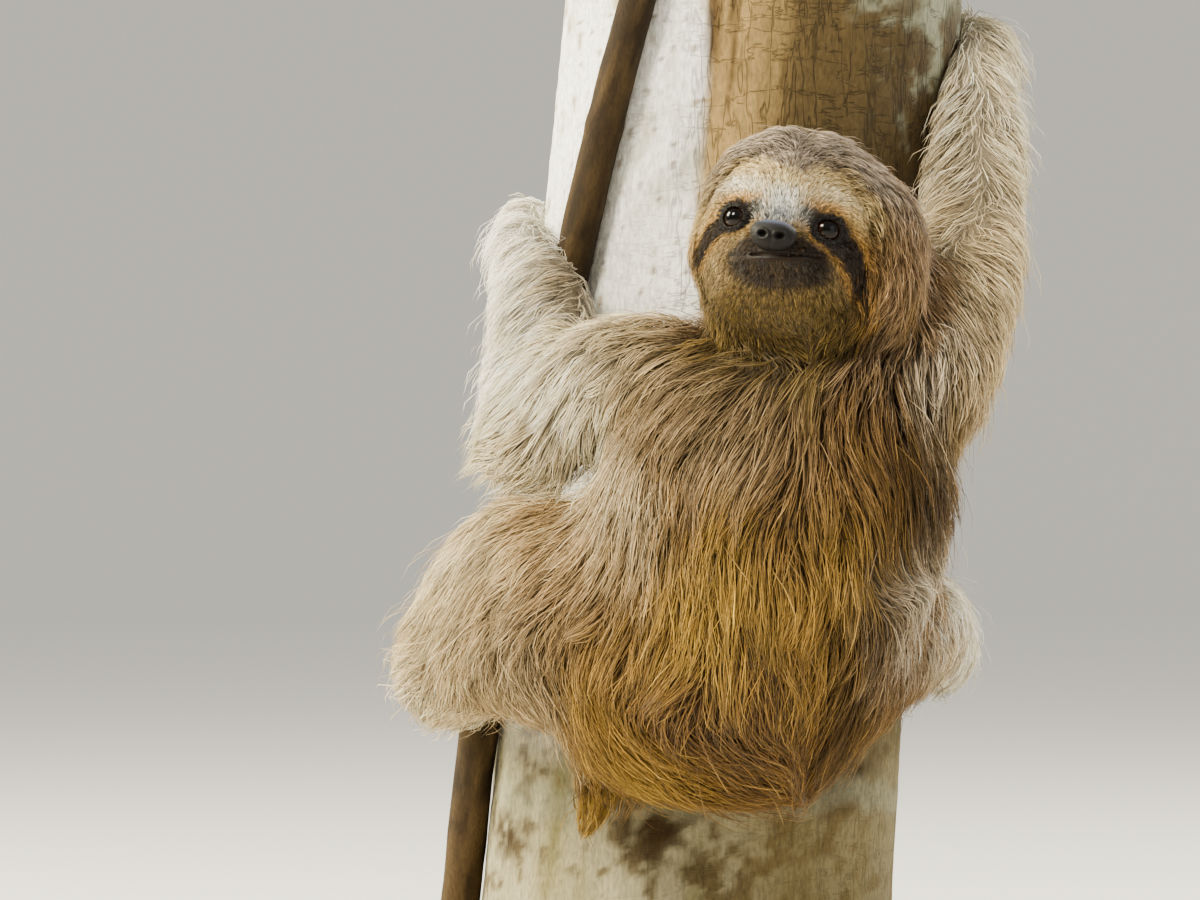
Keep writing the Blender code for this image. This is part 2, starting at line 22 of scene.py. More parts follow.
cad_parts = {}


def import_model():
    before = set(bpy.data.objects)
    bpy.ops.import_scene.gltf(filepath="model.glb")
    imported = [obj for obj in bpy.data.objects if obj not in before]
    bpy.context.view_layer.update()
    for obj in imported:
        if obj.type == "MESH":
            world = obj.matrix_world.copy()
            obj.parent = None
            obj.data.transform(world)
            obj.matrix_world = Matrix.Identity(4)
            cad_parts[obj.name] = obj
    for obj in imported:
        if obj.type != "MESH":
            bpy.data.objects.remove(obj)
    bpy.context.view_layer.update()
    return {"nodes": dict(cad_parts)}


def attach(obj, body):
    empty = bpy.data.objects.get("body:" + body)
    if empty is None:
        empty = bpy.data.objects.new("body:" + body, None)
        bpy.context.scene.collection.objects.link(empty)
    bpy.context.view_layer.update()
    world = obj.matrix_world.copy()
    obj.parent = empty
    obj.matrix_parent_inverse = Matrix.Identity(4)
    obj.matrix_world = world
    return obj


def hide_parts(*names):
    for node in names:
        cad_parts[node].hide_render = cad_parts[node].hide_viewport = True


DOWN = np.array([0.0, 0.0, -1.0])
SEED = 3164

LOG = logging.getLogger("sloth")

Array = np.ndarray


# ---------------------------------------------------------------- numbers


def linear(hex_colour: str) -> Array:
    """Turn an sRGB hex colour into linear light.

    Args:
        hex_colour: six hex digits after a hash sign.

    Returns:
        Three linear values: s / 12.92 below 0.04045, and ((s + 0.055) / 1.055) ** 2.4 above it.
    """
    code = hex_colour.lstrip("#")
    tone = np.array([int(code[place : place + 2], 16) for place in (0, 2, 4)]) / 255
    return np.where(tone <= 0.04045, tone / 12.92, ((tone + 0.055) / 1.055) ** 2.4)


def unit(rows: Array) -> Array:
    """Each row divided by its own length."""
    return rows / np.maximum(np.linalg.norm(rows, axis=-1, keepdims=True), 1e-9)


def smooth_step(low: float, high: float, value: Array) -> Array:
    """0 below low, 1 above high, and 3 t^2 - 2 t^3 of the way t between them."""
    part = np.clip((value - low) / (high - low), 0, 1)
    return part * part * (3 - 2 * part)


def smooth_min(first: Array, second: Array, reach: float) -> Array:
    """The lower of two distances, rounded by h^2 reach / 4, where h falls from 1 to 0 as they part."""
    near = np.clip(1 - np.abs(first - second) / reach, 0, None)
    return np.minimum(first, second) - near * near * reach / 4


def smooth_max(first: Array, second: Array, reach: float) -> Array:
    """The higher of two distances, rounded as smooth_min does."""
    return -smooth_min(-first, -second, reach)


def dot(first: Array, second: Array) -> Array:
    """Row by row dot products, kept as one column."""
    return (first * second).sum(axis=-1, keepdims=True)


def painted(ground: str | Array, *coats: tuple[str | Array, Array]) -> Array:
    """Mix colours over a ground, one after another.

    Args:
        ground: an sRGB hex colour, or linear colours.
        coats: each a colour of either kind and its share at each place, which is held between 0 and 1.

    Returns:
        Linear colours.
    """
    tone = linear(ground) if isinstance(ground, str) else ground
    for colour, share in coats:
        over = linear(colour) if isinstance(colour, str) else colour
        share = np.clip(share, 0, 1)[:, None]
        tone = tone * (1 - share) + over * share
    return tone


def hill(*rows: tuple[Array, float, float]) -> Array:
    """exp(-sum of ((value - middle) / reach)^2) over rows of value, middle and reach."""
    return np.exp(-sum(((value - middle) / reach) ** 2 for value, middle, reach in rows))


def lattice_noise(points: Array, size: float, seed: int) -> Array:
    """Smooth noise from -1 to 1.

    Each corner of a cubic lattice of the given size holds a hashed value, and a point blends its eight
    corners by 3 t^2 - 2 t^3 of its place t in the cube.

    Args:
        points: places, one row each.
        size: lattice spacing in metres.
        seed: picks the values.

    Returns:
        One value for each point.
    """
    cell = points / size + 977.0
    base = np.floor(cell).astype(np.int64)
    part = cell - base
    part = part * part * (3 - 2 * part)
    total = np.zeros(len(points))
    for corner in itertools.product((0, 1), repeat=3):
        node = base + np.array(corner)
        mixed = node[:, 0] * 73856093 ^ node[:, 1] * 19349663 ^ node[:, 2] * 83492791 ^ seed * 2654435
        mixed = (mixed ^ (mixed >> 13)) * 1274126177
        mixed = (mixed ^ (mixed >> 16)) & 0xFFFFFF
        share = np.prod(np.where(np.array(corner) == 1, part, 1 - part), axis=1)
        total += share * mixed / 0xFFFFFF
    return 2 * total - 1


def rough_noise(points: Array, size: float, seed: int, octaves: int = 3) -> Array:
    """Lattice noise summed over octaves, each half as wide and 0.55 as strong as the one before."""
    total = np.zeros(len(points))
    strength, whole = 1.0, 0.0
    for octave in range(octaves):
        total += strength * lattice_noise(points, size / 2**octave, seed + octave)
        whole += strength
        strength *= 0.55
    return total / whole


def ellipsoid_height(points: Array, centre: Sequence[float], half: Sequence[float]) -> Array:
    """Distance outside an ellipsoid, near enough: |q/h| (|q/h| - 1) / |q/h^2| for q from its centre."""
    offset = points - np.array(centre)
    sizes = np.array(half)
    scaled = np.linalg.norm(offset / sizes, axis=1)
    slope = np.linalg.norm(offset / sizes**2, axis=1)
    return scaled * (scaled - 1) / np.maximum(slope, 1e-6)


def path_height(points: Array, path: Array, radii: Array) -> Array:
    """Distance outside a chain of straight lengths whose radius changes evenly along each length."""
    best = np.full(len(points), 1.0)
    for start, end, first, last in zip(path[:-1], path[1:], radii[:-1], radii[1:]):
        along = end - start
        share = np.clip((points - start) @ along / (along @ along), 0, 1)
        gap = np.linalg.norm(points - start - share[:, None] * along, axis=1)
        best = np.minimum(best, gap - (first + (last - first) * share))
    return best


# ---------------------------------------------------------------- finishes


Settings = dict[Any, Any]
EVEN = (1.0, 1.0, 1.0)


class Graph:
    """A material's own node tree. Each of its nodes is made by one call, which gives that node's output."""

    def __init__(self, name: str) -> None:
        """Make the material, which is named, with its Principled shader."""
        self.material = bpy.data.materials.new(name)
        self.material.use_nodes = True
        self.tree = self.material.node_tree
        self.shader = self.tree.nodes["Principled BSDF"]

    def add(self, kind: str, output: str, settings: Settings, links: Settings | None = None) -> Any:
        """Add one node.

        Args:
            kind: Blender's name for the node, after ShaderNode.
            output: the output that is wanted of it.
            settings: values for its inputs, by name or number, and for its own properties.
            links: for each of its inputs, the output that feeds it.

        Returns:
            The wanted output.
        """
        node = self.tree.nodes.new("ShaderNode" + kind)
        for name, value in settings.items():
            if isinstance(name, int) or name in node.inputs.keys():
                node.inputs[name].default_value = value
            else:
                setattr(node, name, value)
        for name, source in (links or {}).items():
            self.tree.links.new(source, node.inputs[name])
        return node.outputs[output]

    def feed(self, socket: str, source: Any) -> None:
        """Feed one of the shader's inputs: a number is set, and an output is linked."""
        if isinstance(source, float):
            self.shader.inputs[socket].default_value = source
        else:
            self.tree.links.new(source, self.shader.inputs[socket])

    def kept(self, name: str, output: str = "Fac") -> Any:
        """A value that the mesh keeps for each of its points."""
        return self.add("Attribute", output, {"attribute_name": name})

    def place(self, stretch: Sequence[float] = EVEN) -> Any:
        """The object's own coordinates, each times its stretch."""
        place = self.add("TexCoord", "Object", {})
        return self.add("Mapping", "Vector", {"Scale": stretch}, {"Vector": place})

    def noise(self, size: float, detail: float, stretch: Sequence[float] = EVEN, **more: float) -> Any:
        """Noise of one size in metres, drawn out along each axis whose stretch is under 1."""
        settings = {"Scale": 1.0 / size, "Detail": detail, **more}
        return self.add("TexNoise", "Fac", settings, {"Vector": self.place(stretch)})

    def mapped(self, value: Any, source: Sequence[float], target: Sequence[float]) -> Any:
        """Carry a value from the source's two ends to the target's, and hold it between them."""
        ends = zip(("From Min", "From Max", "To Min", "To Max"), (*source, *target))
        return self.add("MapRange", "Result", dict(ends), {"Value": value})

    def sum(self, operation: str, *terms: Any) -> Any:
        """Blender's math operation on two or three terms, each a number or an output."""
        numbers = {place: term for place, term in enumerate(terms) if isinstance(term, float)}
        outputs = {place: term for place, term in enumerate(terms) if place not in numbers}
        return self.add("Math", "Value", {"operation": operation, **numbers}, outputs)

    def scaled(self, colour: Any, share: Any) -> Any:
        """A colour times a value."""
        return self.add("VectorMath", "Vector", {"operation": "SCALE"}, {"Vector": colour, "Scale": share})

    def ramp(self, value: Any, *stops: tuple[float, str]) -> Any:
        """Colours by a value, with stops that each hold a place from 0 to 1 and an sRGB hex colour."""
        colour = self.add("ValToRGB", "Color", {}, {"Fac": value})
        elements = colour.node.color_ramp.elements
        while len(elements) < len(stops):
            elements.new(1.0)
        for element, (place, code) in zip(elements, stops):
            element.position = place
            element.color = (*linear(code), 1.0)
        return colour

    def raise_by(self, height: Any, strength: float, depth: float) -> None:
        """Bump the surface by a height."""
        settings = {"Strength": strength, "Distance": depth}
        self.feed("Normal", self.add("Bump", "Normal", settings, {"Height": height}))


@dataclass(frozen=True)
class Finish:
    """A surface finish: its name and the settings of its shader that are the same all over it."""

    name: str
    roughness: float = 0.6
    metallic: float = 0.0
    extra: tuple[tuple[str, float], ...] = ()

    def make(self) -> Any:
        """Make the material: the constants first, and then what the finish paints over them."""
        graph = Graph(self.name)
        for socket, value in (("Roughness", self.roughness), ("Metallic", self.metallic), *self.extra):
            graph.feed(socket, value)
        self.paint(graph)
        return graph.material

    def paint(self, graph: Graph) -> None:
        """Paint what varies over the surface."""


@dataclass(frozen=True)
class FurFinish(Finish):
    """Guard hair, grown: coarse dry keratin, so its gloss is broad and low and its edges catch light."""

    name: str = "sloth_guard_hair"
    roughness: float = 0.58
    mottle: float = 1 / 650
    extra: tuple[tuple[str, float], ...] = (
        ("Specular IOR Level", 0.20),
        ("Sheen Weight", 0.06),
        ("Sheen Roughness", 0.45),
    )

    def paint(self, graph: Graph) -> None:
        """Colour from the coat's own markings, mottled by a 1.5 mm noise as dust and algae do."""
        shade = graph.mapped(graph.noise(self.mottle, 2.0), (0.3, 0.7), (0.86, 1.12))
        graph.feed("Base Color", graph.scaled(graph.kept("coat", "Color"), shade))


@dataclass(frozen=True)
class SkinFinish(Finish):
    """Skin under short fur: dry and matt where hair covers it, satin where lids and lips are bare."""

    name: str = "sloth_furred_skin"
    roughness: float = 0.75
    bare_roughness: float = 0.5
    fibre: float = 0.0009
    extra: tuple[tuple[str, float], ...] = (("Specular IOR Level", 0.1),)

    def paint(self, graph: Graph) -> None:
        """Colour from the markings, with short flat fur drawn as bump and shade at the hair's own width."""
        hairs = graph.noise(self.fibre, 3.0, (1.0, 1.0, 0.3), Roughness=0.6)
        shade = graph.mapped(hairs, (0.32, 0.68), (0.62, 1.25))
        graph.feed("Base Color", graph.scaled(graph.kept("coat", "Color"), shade))
        gloss = graph.mapped(graph.kept("bare"), (0.0, 1.0), (self.roughness, self.bare_roughness))
        graph.feed("Roughness", gloss)
        graph.raise_by(hairs, 0.55, 0.0006)


@dataclass(frozen=True)
class NoseFinish(Finish):
    """Bare rhinarium skin, pebbled at 0.7 mm: near black, and satin where it is moist."""

    name: str = "nose_pad_pebbled_skin"
    roughness: float = 0.52
    pebble: float = 0.0007
    extra: tuple[tuple[str, float], ...] = (("Specular IOR Level", 0.16),)

    def paint(self, graph: Graph) -> None:
        """Painted blue-grey sheen on the top, near black below with painted shade in the nostrils, over a
        cell pattern bump.
        """
        stops = ((0.0, "#070605"), (0.45, "#12100e"), (0.7, "#23252a"), (1.0, "#50586a"))
        graph.feed("Base Color", graph.ramp(graph.kept("wear"), *stops))
        cells = graph.add("TexVoronoi", "Distance", {"Scale": 1.0 / self.pebble}, {"Vector": graph.place()})
        graph.raise_by(cells, 0.5, 0.0003)


@dataclass(frozen=True)
class EyeFinish(Finish):
    """A wet eye, clear over a dark brown iris: one sharp highlight on a nearly black ball."""

    name: str = "wet_brown_eye"
    roughness: float = 0.12
    spoke: float = 0.035
    extra: tuple[tuple[str, float], ...] = (
        ("Specular IOR Level", 0.05),
        ("Coat Weight", 0.5),
        ("Coat Roughness", 0.03),
        ("Coat IOR", 1.33),
    )

    def paint(self, graph: Graph) -> None:
        """Black pupil, brown iris with fine spokes, dark rim, by the turn away from the gaze."""
        pupil, iris = ((0.0, "#020101"), (0.26, "#030201")), ((0.33, "#120904"), (0.46, "#1d0f07"))
        rim = ((0.56, "#0e0704"), (0.66, "#0b0705"), (1.0, "#0d0907"))
        away = graph.sum("MULTIPLY_ADD", graph.kept("spokes"), self.spoke, graph.kept("turn"))
        graph.feed("Base Color", graph.ramp(away, *pupil, *iris, *rim))


@dataclass(frozen=True)
class ClawFinish(Finish):
    """Horn, grown in layers: satin, amber at the root and paler and scuffed towards the tip."""

    name: str = "grown_claw_horn"
    roughness: float = 0.38
    streak: float = 0.0006 / 0.35

    def paint(self, graph: Graph) -> None:
        """Colour by the place along the claw, streaked by its layers."""
        streaks = graph.noise(self.streak, 4.0)
        share = graph.sum("MULTIPLY_ADD", streaks, 0.3, graph.kept("along"))
        graph.feed("Base Color", graph.ramp(share, (0.05, "#4d3a26"), (0.5, "#8a7350"), (1.0, "#c7b48d")))
        graph.raise_by(streaks, 0.25, 0.0003)


@dataclass(frozen=True)
class BarkFinish(Finish):
    """Live bark, weathered: dry and matt, flaked and specked at about 2 mm."""

    name: str = "weathered_live_bark"
    roughness: float = 0.88
    speck: float = 0.0022
    long_crack: float = 0.014
    cross_crack: float = 0.022
    depth: float = 0.0010
    ragged: float = 0.62
    extra: tuple[tuple[str, float], ...] = (("Specular IOR Level", 0.2),)

    def paint(self, graph: Graph) -> None:
        """Colour from the bark's own patches, times a fine speckle and thin dark cracks, over their bump.

        A crack runs where a noise passes through its middle value: lengthwise in one noise, and round
        the trunk in another.
        """

        def off_lines(source: Any, width: float) -> Any:
            """0 on the line where a noise is at its middle value, rising to 1 at a width from it."""
            gap = graph.sum("ABSOLUTE", graph.sum("SUBTRACT", source, 0.5))
            return graph.mapped(gap, (0.0, width), (0.0, 1.0))

        flakes = graph.noise(self.speck, 6.0, (1.0, 1.0, 0.45), Roughness=self.ragged)
        upright = graph.noise(self.long_crack, 3.0, (1.0, 1.0, 0.16), Roughness=self.ragged)
        level = graph.noise(self.cross_crack, 4.0, (0.35, 0.35, 1.5), Roughness=self.ragged)
        off_cracks = graph.sum("MINIMUM", off_lines(upright, 0.022), off_lines(level, 0.012))
        dark = graph.sum("MULTIPLY", graph.sum("SUBTRACT", 1.0, off_cracks), graph.kept("crack"))
        light = graph.sum("SUBTRACT", 1.0, dark)
        shade = graph.sum("MULTIPLY", graph.mapped(flakes, (0.30, 0.70), (0.68, 1.22)), light)
        graph.feed("Base Color", graph.scaled(graph.kept("bark", "Color"), shade))
        graph.raise_by(graph.sum("ADD", flakes, light), 0.8, self.depth)


@dataclass(frozen=True)
class BoardFinish(Finish):
    """Hardwood board, turned, stained dark and sealed satin: straight grain about 3 mm apart."""

    name: str = "turned_stained_board"
    roughness: float = 0.42
    grain: float = 0.003

    def paint(self, graph: Graph) -> None:
        """Bands across the board, bent by a slow noise, from dark to darker brown."""
        grain = graph.noise(self.grain, 5.0, (0.06, 1.0, 1.0), Distortion=0.6)
        graph.feed("Base Color", graph.ramp(grain, (0.30, "#2c2018"), (0.50, "#4a382b"), (0.72, "#6a5340")))
        graph.raise_by(grain, 0.15, 0.0003)


@dataclass(frozen=True)
class SteelFinish(Finish):
    """Mild steel rod, brushed lengthwise and blackened: dark, with a long soft highlight."""

    name: str = "blackened_brushed_steel"
    roughness: float = 0.36
    metallic: float = 1.0
    brush: float = 0.0005

    def paint(self, graph: Graph) -> None:
        """Fine lines along the rod lighten the metal."""
        lines = graph.noise(self.brush, 2.0, (1.0, 1.0, 0.03))
        graph.feed("Base Color", graph.ramp(lines, (0.3, "#3f3f41"), (0.7, "#6d6d70")))


@dataclass(frozen=True)
class PaintFinish(Finish):
    """Studio floor, rolled matt emulsion: pale, with a faint 4 mm stipple."""

    name: str = "rolled_pale_emulsion"
    roughness: float = 0.9
    stipple: float = 0.004

    def paint(self, graph: Graph) -> None:
        """One pale colour, barely varied by the roller's stipple."""
        stipple = graph.noise(self.stipple, 2.0)
        graph.feed("Base Color", graph.ramp(stipple, (0.3, "#dcdad4"), (0.7, "#e2e0da")))


# ---------------------------------------------------------------- meshes


@dataclass
class Sheet:
    """Points, four-cornered and three-cornered faces, values kept at the points, and bake places."""

    points: Array
    quads: Array = field(default_factory=lambda: np.zeros((0, 4), int))
    triangles: Array = field(default_factory=lambda: np.zeros((0, 3), int))
    values: dict[str, Array] = field(default_factory=dict)
    patches: Array | None = None

    def turned_out(self) -> "Sheet":
        """The same sheet with its faces turned so that the volume inside them is positive."""
        ends = self.triangles
        if len(self.quads):
            ends = np.concatenate([ends, self.quads[:, [0, 1, 2]], self.quads[:, [0, 2, 3]]])
        corners = self.points[ends]
        volume = (corners[:, 0] * np.cross(corners[:, 1], corners[:, 2])).sum()
        if volume < 0:
            self.quads = self.quads[:, ::-1]
            self.triangles = self.triangles[:, ::-1]
        return self

    def shown(self, name: str, material: Any) -> Any:
        """Put the sheet into a mesh object in the scene."""
        mesh = bpy.data.meshes.new(name)
        fours, threes = len(self.quads), len(self.triangles)
        corners = np.concatenate([self.quads.ravel(), self.triangles.ravel()]).astype(np.int32)
        starts = np.concatenate([4 * np.arange(fours), 4 * fours + 3 * np.arange(threes)]).astype(np.int32)
        mesh.vertices.add(len(self.points))
        mesh.vertices.foreach_set("co", self.points.astype(np.float32).ravel())
        mesh.loops.add(len(corners))
        mesh.loops.foreach_set("vertex_index", corners)
        mesh.polygons.add(len(starts))
        mesh.polygons.foreach_set("loop_start", starts)
        mesh.polygons.foreach_set("use_smooth", np.ones(len(starts), bool))
        mesh.update(calc_edges=True)
        for label, value in self.values.items():
            if value.ndim == 2:
                made = mesh.color_attributes.new(label, "FLOAT_COLOR", "POINT")
                rows = np.concatenate([value, np.ones((len(value), 1))], axis=1)
                made.data.foreach_set("color", rows.astype(np.float32).ravel())
            else:
                made = mesh.attributes.new(label, "FLOAT", "POINT")
                made.data.foreach_set("value", value.astype(np.float32))
        if self.patches is not None:
            chart = mesh.uv_layers.new(name="OFBake")
            chart.uv.foreach_set("vector", self.patches[corners].astype(np.float32).ravel())
        mesh.materials.append(material)
        LOG.info("%s: %d points, %d triangles", name, len(self.points), 2 * fours + threes)
        return placed(name, mesh)

    def piece(self, name: str, material: Any, slot: str, replaced: Sequence[str] = ()) -> None:
        """Put the sheet into a mesh object that rides on the part.

        Args:
            name: the piece's name.
            material: its material.
            slot: not used.
            replaced: the nodes that it stands for.
        """
        made = self.shown(name, material)
        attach(made, "root")
        if replaced:
            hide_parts(*replaced)


def placed(name: str, data: Any) -> Any:
    """Put a mesh, a lamp or a camera into the scene under a name."""
    made = bpy.data.objects.new(name, data)
    bpy.context.scene.collection.objects.link(made)
    return made


def sphere(courses: int, sides: int) -> tuple[Array, Array]:
    """Each ring's turn away from the pole at +Z, and the unit directions of its points."""
    away = np.linspace(0.02, math.pi - 0.02, courses)[:, None]
    spin = np.linspace(0, 2 * math.pi, sides, endpoint=False)[None]
    parts = np.sin(away) * np.cos(spin), np.sin(away) * np.sin(spin), np.cos(away) + 0 * spin
    return away, np.stack(parts, axis=-1)


def tube(rings: Array) -> Sheet:
    """Join rings of points into a skin, with a pole at each end.

    Args:
        rings: ring, point and coordinate, with each ring running once round.

    Returns:
        The sheet, with its faces turned out.
    """
    count, sides = rings.shape[:2]
    across = np.arange(sides)
    beside = (across + 1) % sides
    near = sides * np.arange(count - 1)[:, None]
    far = near + sides
    quads = np.stack([near + across, near + beside, far + beside, far + across], axis=-1).reshape(-1, 4)
    poles = rings[[0, -1]].mean(axis=1)
    points = np.concatenate([rings.reshape(-1, 3), poles])
    first, last = count * sides, count * sides + 1
    end = (count - 1) * sides
    foot = np.stack([beside, across, np.full(sides, first)], axis=1)
    crown = np.stack([end + across, end + beside, np.full(sides, last)], axis=1)
    return Sheet(points, quads, np.concatenate([foot, crown])).turned_out()


def frames_along(path: Array, outward: Array) -> tuple[Array, Array]:
    """Outward and sideways directions along a path, both square to it."""
    tangents = unit(np.gradient(path, axis=0))
    square = unit(outward - dot(outward, tangents) * tangents)
    return square, np.cross(tangents, square)


def swept(path: Array, outward: Array, wide: Array, thick: Array, sides: int) -> Sheet:
    """An oval section carried along a path: centre + wide cos(a) sideways + thick sin(a) outward."""
    square, sideways = frames_along(path, outward)
    turn = np.linspace(0, 2 * math.pi, sides, endpoint=False)[None, :, None]
    rings = path[:, None] + (wide[:, None] * sideways)[:, None] * np.cos(turn)
    return tube(rings + (thick[:, None] * square)[:, None] * np.sin(turn))


def turned(profile: Array, centre: Sequence[float], sides: int) -> Sheet:
    """A profile of radius and height rows, carried round an upright axis through the centre."""
    turn = np.linspace(0, 2 * math.pi, sides, endpoint=False)
    ring = np.stack([np.cos(turn), np.sin(turn), np.zeros(sides)], axis=1)
    rings = profile[:, 0, None, None] * ring + profile[:, 1, None, None] * np.array([0, 0, 1.0])
    return tube(rings + np.array(centre))


# ---------------------------------------------------------------- trunk and liana


class Bark(StrEnum):
    """Named tones of the trunk and the liana."""

    WHITE = "#f2f2ec"
    GREY = "#c3c3b4"
    OCHRE = "#9c8250"
    BROWN = "#6a5434"
    UMBER = "#38280f"
    SHADE = "#43371f"
    LICHEN = "#8f9279"
    MOSS = "#665f33"
    DAMP = "#9a9373"
    STAIN = "#4a3a20"
    # Painted shade for the bark's right side near the foot.
    RIGHT_SIDE_SHADE = "#5f5029"
    BLOTCH = "#33260f"
    WOOD = "#b39a72"
    CORE = "#9a7c52"
    LIANA = "#261c0e"
    LIANA_RIDGE = "#46371f"


@dataclass(frozen=True)
class Blotch:
    """A brown blotch near the foot of the trunk: its turn in degrees, its height, and its reach in both."""

    turn: float
    height: float
    wide: float
    tall: float


BLOTCHES = (Blotch(10, 0.142, 12, 0.020), Blotch(-43, 0.167, 16, 0.016), Blotch(62, 0.135, 9, 0.015))


@dataclass
class Trunk:
    """The leaning length of trunk, its bark pale on one side and ochre to brown on the other."""

    bottom: float = 0.078
    top: float = 0.640
    foot_radius: float = 0.1105
    taper: float = 0.0135
    foot_x: float = -0.0127
    lean: float = 0.0867
    axis_y: float = 0.085
    swell: float = 0.0018
    sides: int = 220
    courses: int = 280
    relief: float = 0.0011
    end_rings: tuple[float, ...] = (0.985, 0.90, 0.6, 0.3)

    def axis_x(self, height: Array) -> Array:
        """The axis leans evenly from its foot."""
        return self.foot_x + (height - self.bottom) * self.lean

    def radius(self, turn: Array, height: Array) -> Array:
        """A slow taper, with a swell of two and three waves round that winds with height."""
        waves = np.sin(2 * turn + 9 * height) + 0.7 * np.sin(3 * turn - 14 * height + 1)
        return self.foot_radius - self.taper * (height - self.bottom) + self.swell * waves

    def beside(self, turn: Array, height: Array, stand_off: Array | float) -> Array:
        """Points round the trunk: turn 0 faces -Y and a quarter turn faces -X."""
        reach = self.radius(turn, height) + stand_off
        across = self.axis_x(height) - reach * np.sin(turn)
        return np.stack([across, self.axis_y - reach * np.cos(turn), height + 0 * turn], axis=-1)

    def from_axis(self, points: Array) -> tuple[Array, Array]:
        """How far points are from the axis along X and Y."""
        return points[:, 0] - self.axis_x(points[:, 2]), points[:, 1] - self.axis_y

    def stand_off(self, points: Array) -> Array:
        """How far points are outside the bark."""
        across, deep = self.from_axis(points)
        return np.hypot(across, deep) - self.radius(np.arctan2(-across, -deep), points[:, 2])

    def outward(self, points: Array) -> Array:
        """The level direction away from the axis."""
        across, deep = self.from_axis(points)
        return unit(np.stack([across, deep, np.zeros(len(points))], axis=1))

    def around(self, turn: Array, height: Array, *stretch: float) -> Array:
        """Places on an even cylinder, for noise, with their heights times each stretch."""
        flat = np.stack([np.cos(turn), np.sin(turn), height / self.foot_radius], axis=1) * self.foot_radius
        return flat * np.array([1, 1, math.prod(stretch)])

    def tones(self, turn: Array, height: Array) -> Array:
        """Bark colours by place.

        Pale smooth bark wraps the left third, streaked ochre and brown bark the right, with a thin dark
        border between them. Both grade to grey-green, with brown patches, near the foot. The right side
        is darkened by painted shade, up the trunk and near the foot. Each border is bent by noise.

        Args:
            turn: angle round the trunk.
            height: height above the floor.

        Returns:
            Linear colours.
        """
        degrees = np.degrees(turn)
        slow = rough_noise(self.around(turn, height, 0.5), 0.060, 11)
        quick = rough_noise(self.around(turn, height, 0.22), 0.012, 23, 4)
        streak = rough_noise(self.around(turn, height, 0.22, 0.45), 0.0075, 31, 3)
        spots = rough_noise(self.around(turn, height), 0.010, 47, 3)
        flecks = rough_noise(self.around(turn, height), 0.0055, 53, 2)
        rough = painted(
            Bark.BROWN,
            (Bark.OCHRE, smooth_step(-0.35, 0.35, streak + 0.9 * np.cos(turn - 0.25) - 0.55)),
            (Bark.UMBER, 0.75 * smooth_step(0.05, 0.45, 0.35 * quick - streak - 0.1)),
            # Painted shade: the rough bark darkens towards its right side.
            (Bark.SHADE, 0.9 * smooth_step(6, -14, degrees + 10 * quick + 6 * slow)),
            (Bark.LICHEN, 0.7 * smooth_step(0.10, 0.40, slow + 0.5 * spots - 0.05)),
        )
        smooth = painted(
            Bark.WHITE,
            (Bark.GREY, smooth_step(0.0, 0.5, slow + 0.6 * spots)),
            (Bark.OCHRE, 0.55 * smooth_step(0.38, 0.55, spots + 0.35 * slow)),
            (Bark.BROWN, 0.75 * smooth_step(0.42, 0.60, flecks)),
        )
        near = [hill((degrees, at.turn, at.wide), (height, at.height, at.tall)) for at in BLOTCHES]
        low = painted(
            Bark.DAMP,
            (Bark.MOSS, smooth_step(-0.1, 0.5, slow + 0.4 * quick)),
            (Bark.STAIN, 0.8 * smooth_step(0.06, 0.40, spots - 0.35 * slow)),
            # Painted shade: the bark near the foot darkens towards its right side.
            (Bark.RIGHT_SIDE_SHADE, 0.75 * smooth_step(10, -30, degrees)),
            *((Bark.BLOTCH, 1.1 * share * smooth_step(-0.5, 0.1, spots)) for share in near),
            (Bark.LICHEN, 0.3 * smooth_step(0.5, 1.0, np.sin(height / 0.011 + 2 * slow))),
        )
        edge = 20 + 56 * np.clip(height - 0.56, -0.13, 0.1) + 4 * slow + 3 * quick
        pale = smooth_step(-2.5, 2.5, degrees - edge) * smooth_step(-12, 12, 128 + 14 * slow - degrees)
        foot = smooth_step(0.235, 0.165, height + 0.02 * slow)
        border = hill((degrees, edge - 4 * flecks, 3.0)) * (1 - foot)
        high = smooth_step(0.55, 0.62, height + 0.02 * slow) * smooth_step(-35, -60, degrees + 20 * spots)
        return painted(
            rough,
            (smooth, pale),
            (low, foot),
            (Bark.UMBER, 0.8 * border * smooth_step(-0.15, 0.25, quick)),
            (Bark.LICHEN, 0.8 * high),
        )

    def cracks(self, turn: Array, height: Array) -> Array:
        """How strongly cracks show: plainly on ochre and brown bark, faintly on the pale."""
        degrees = np.degrees(turn)
        pale = smooth_step(16, 26, degrees) * smooth_step(138, 124, degrees)
        return (0.50 - 0.30 * pale) * (0.45 + 0.55 * smooth_step(0.18, 0.24, height))

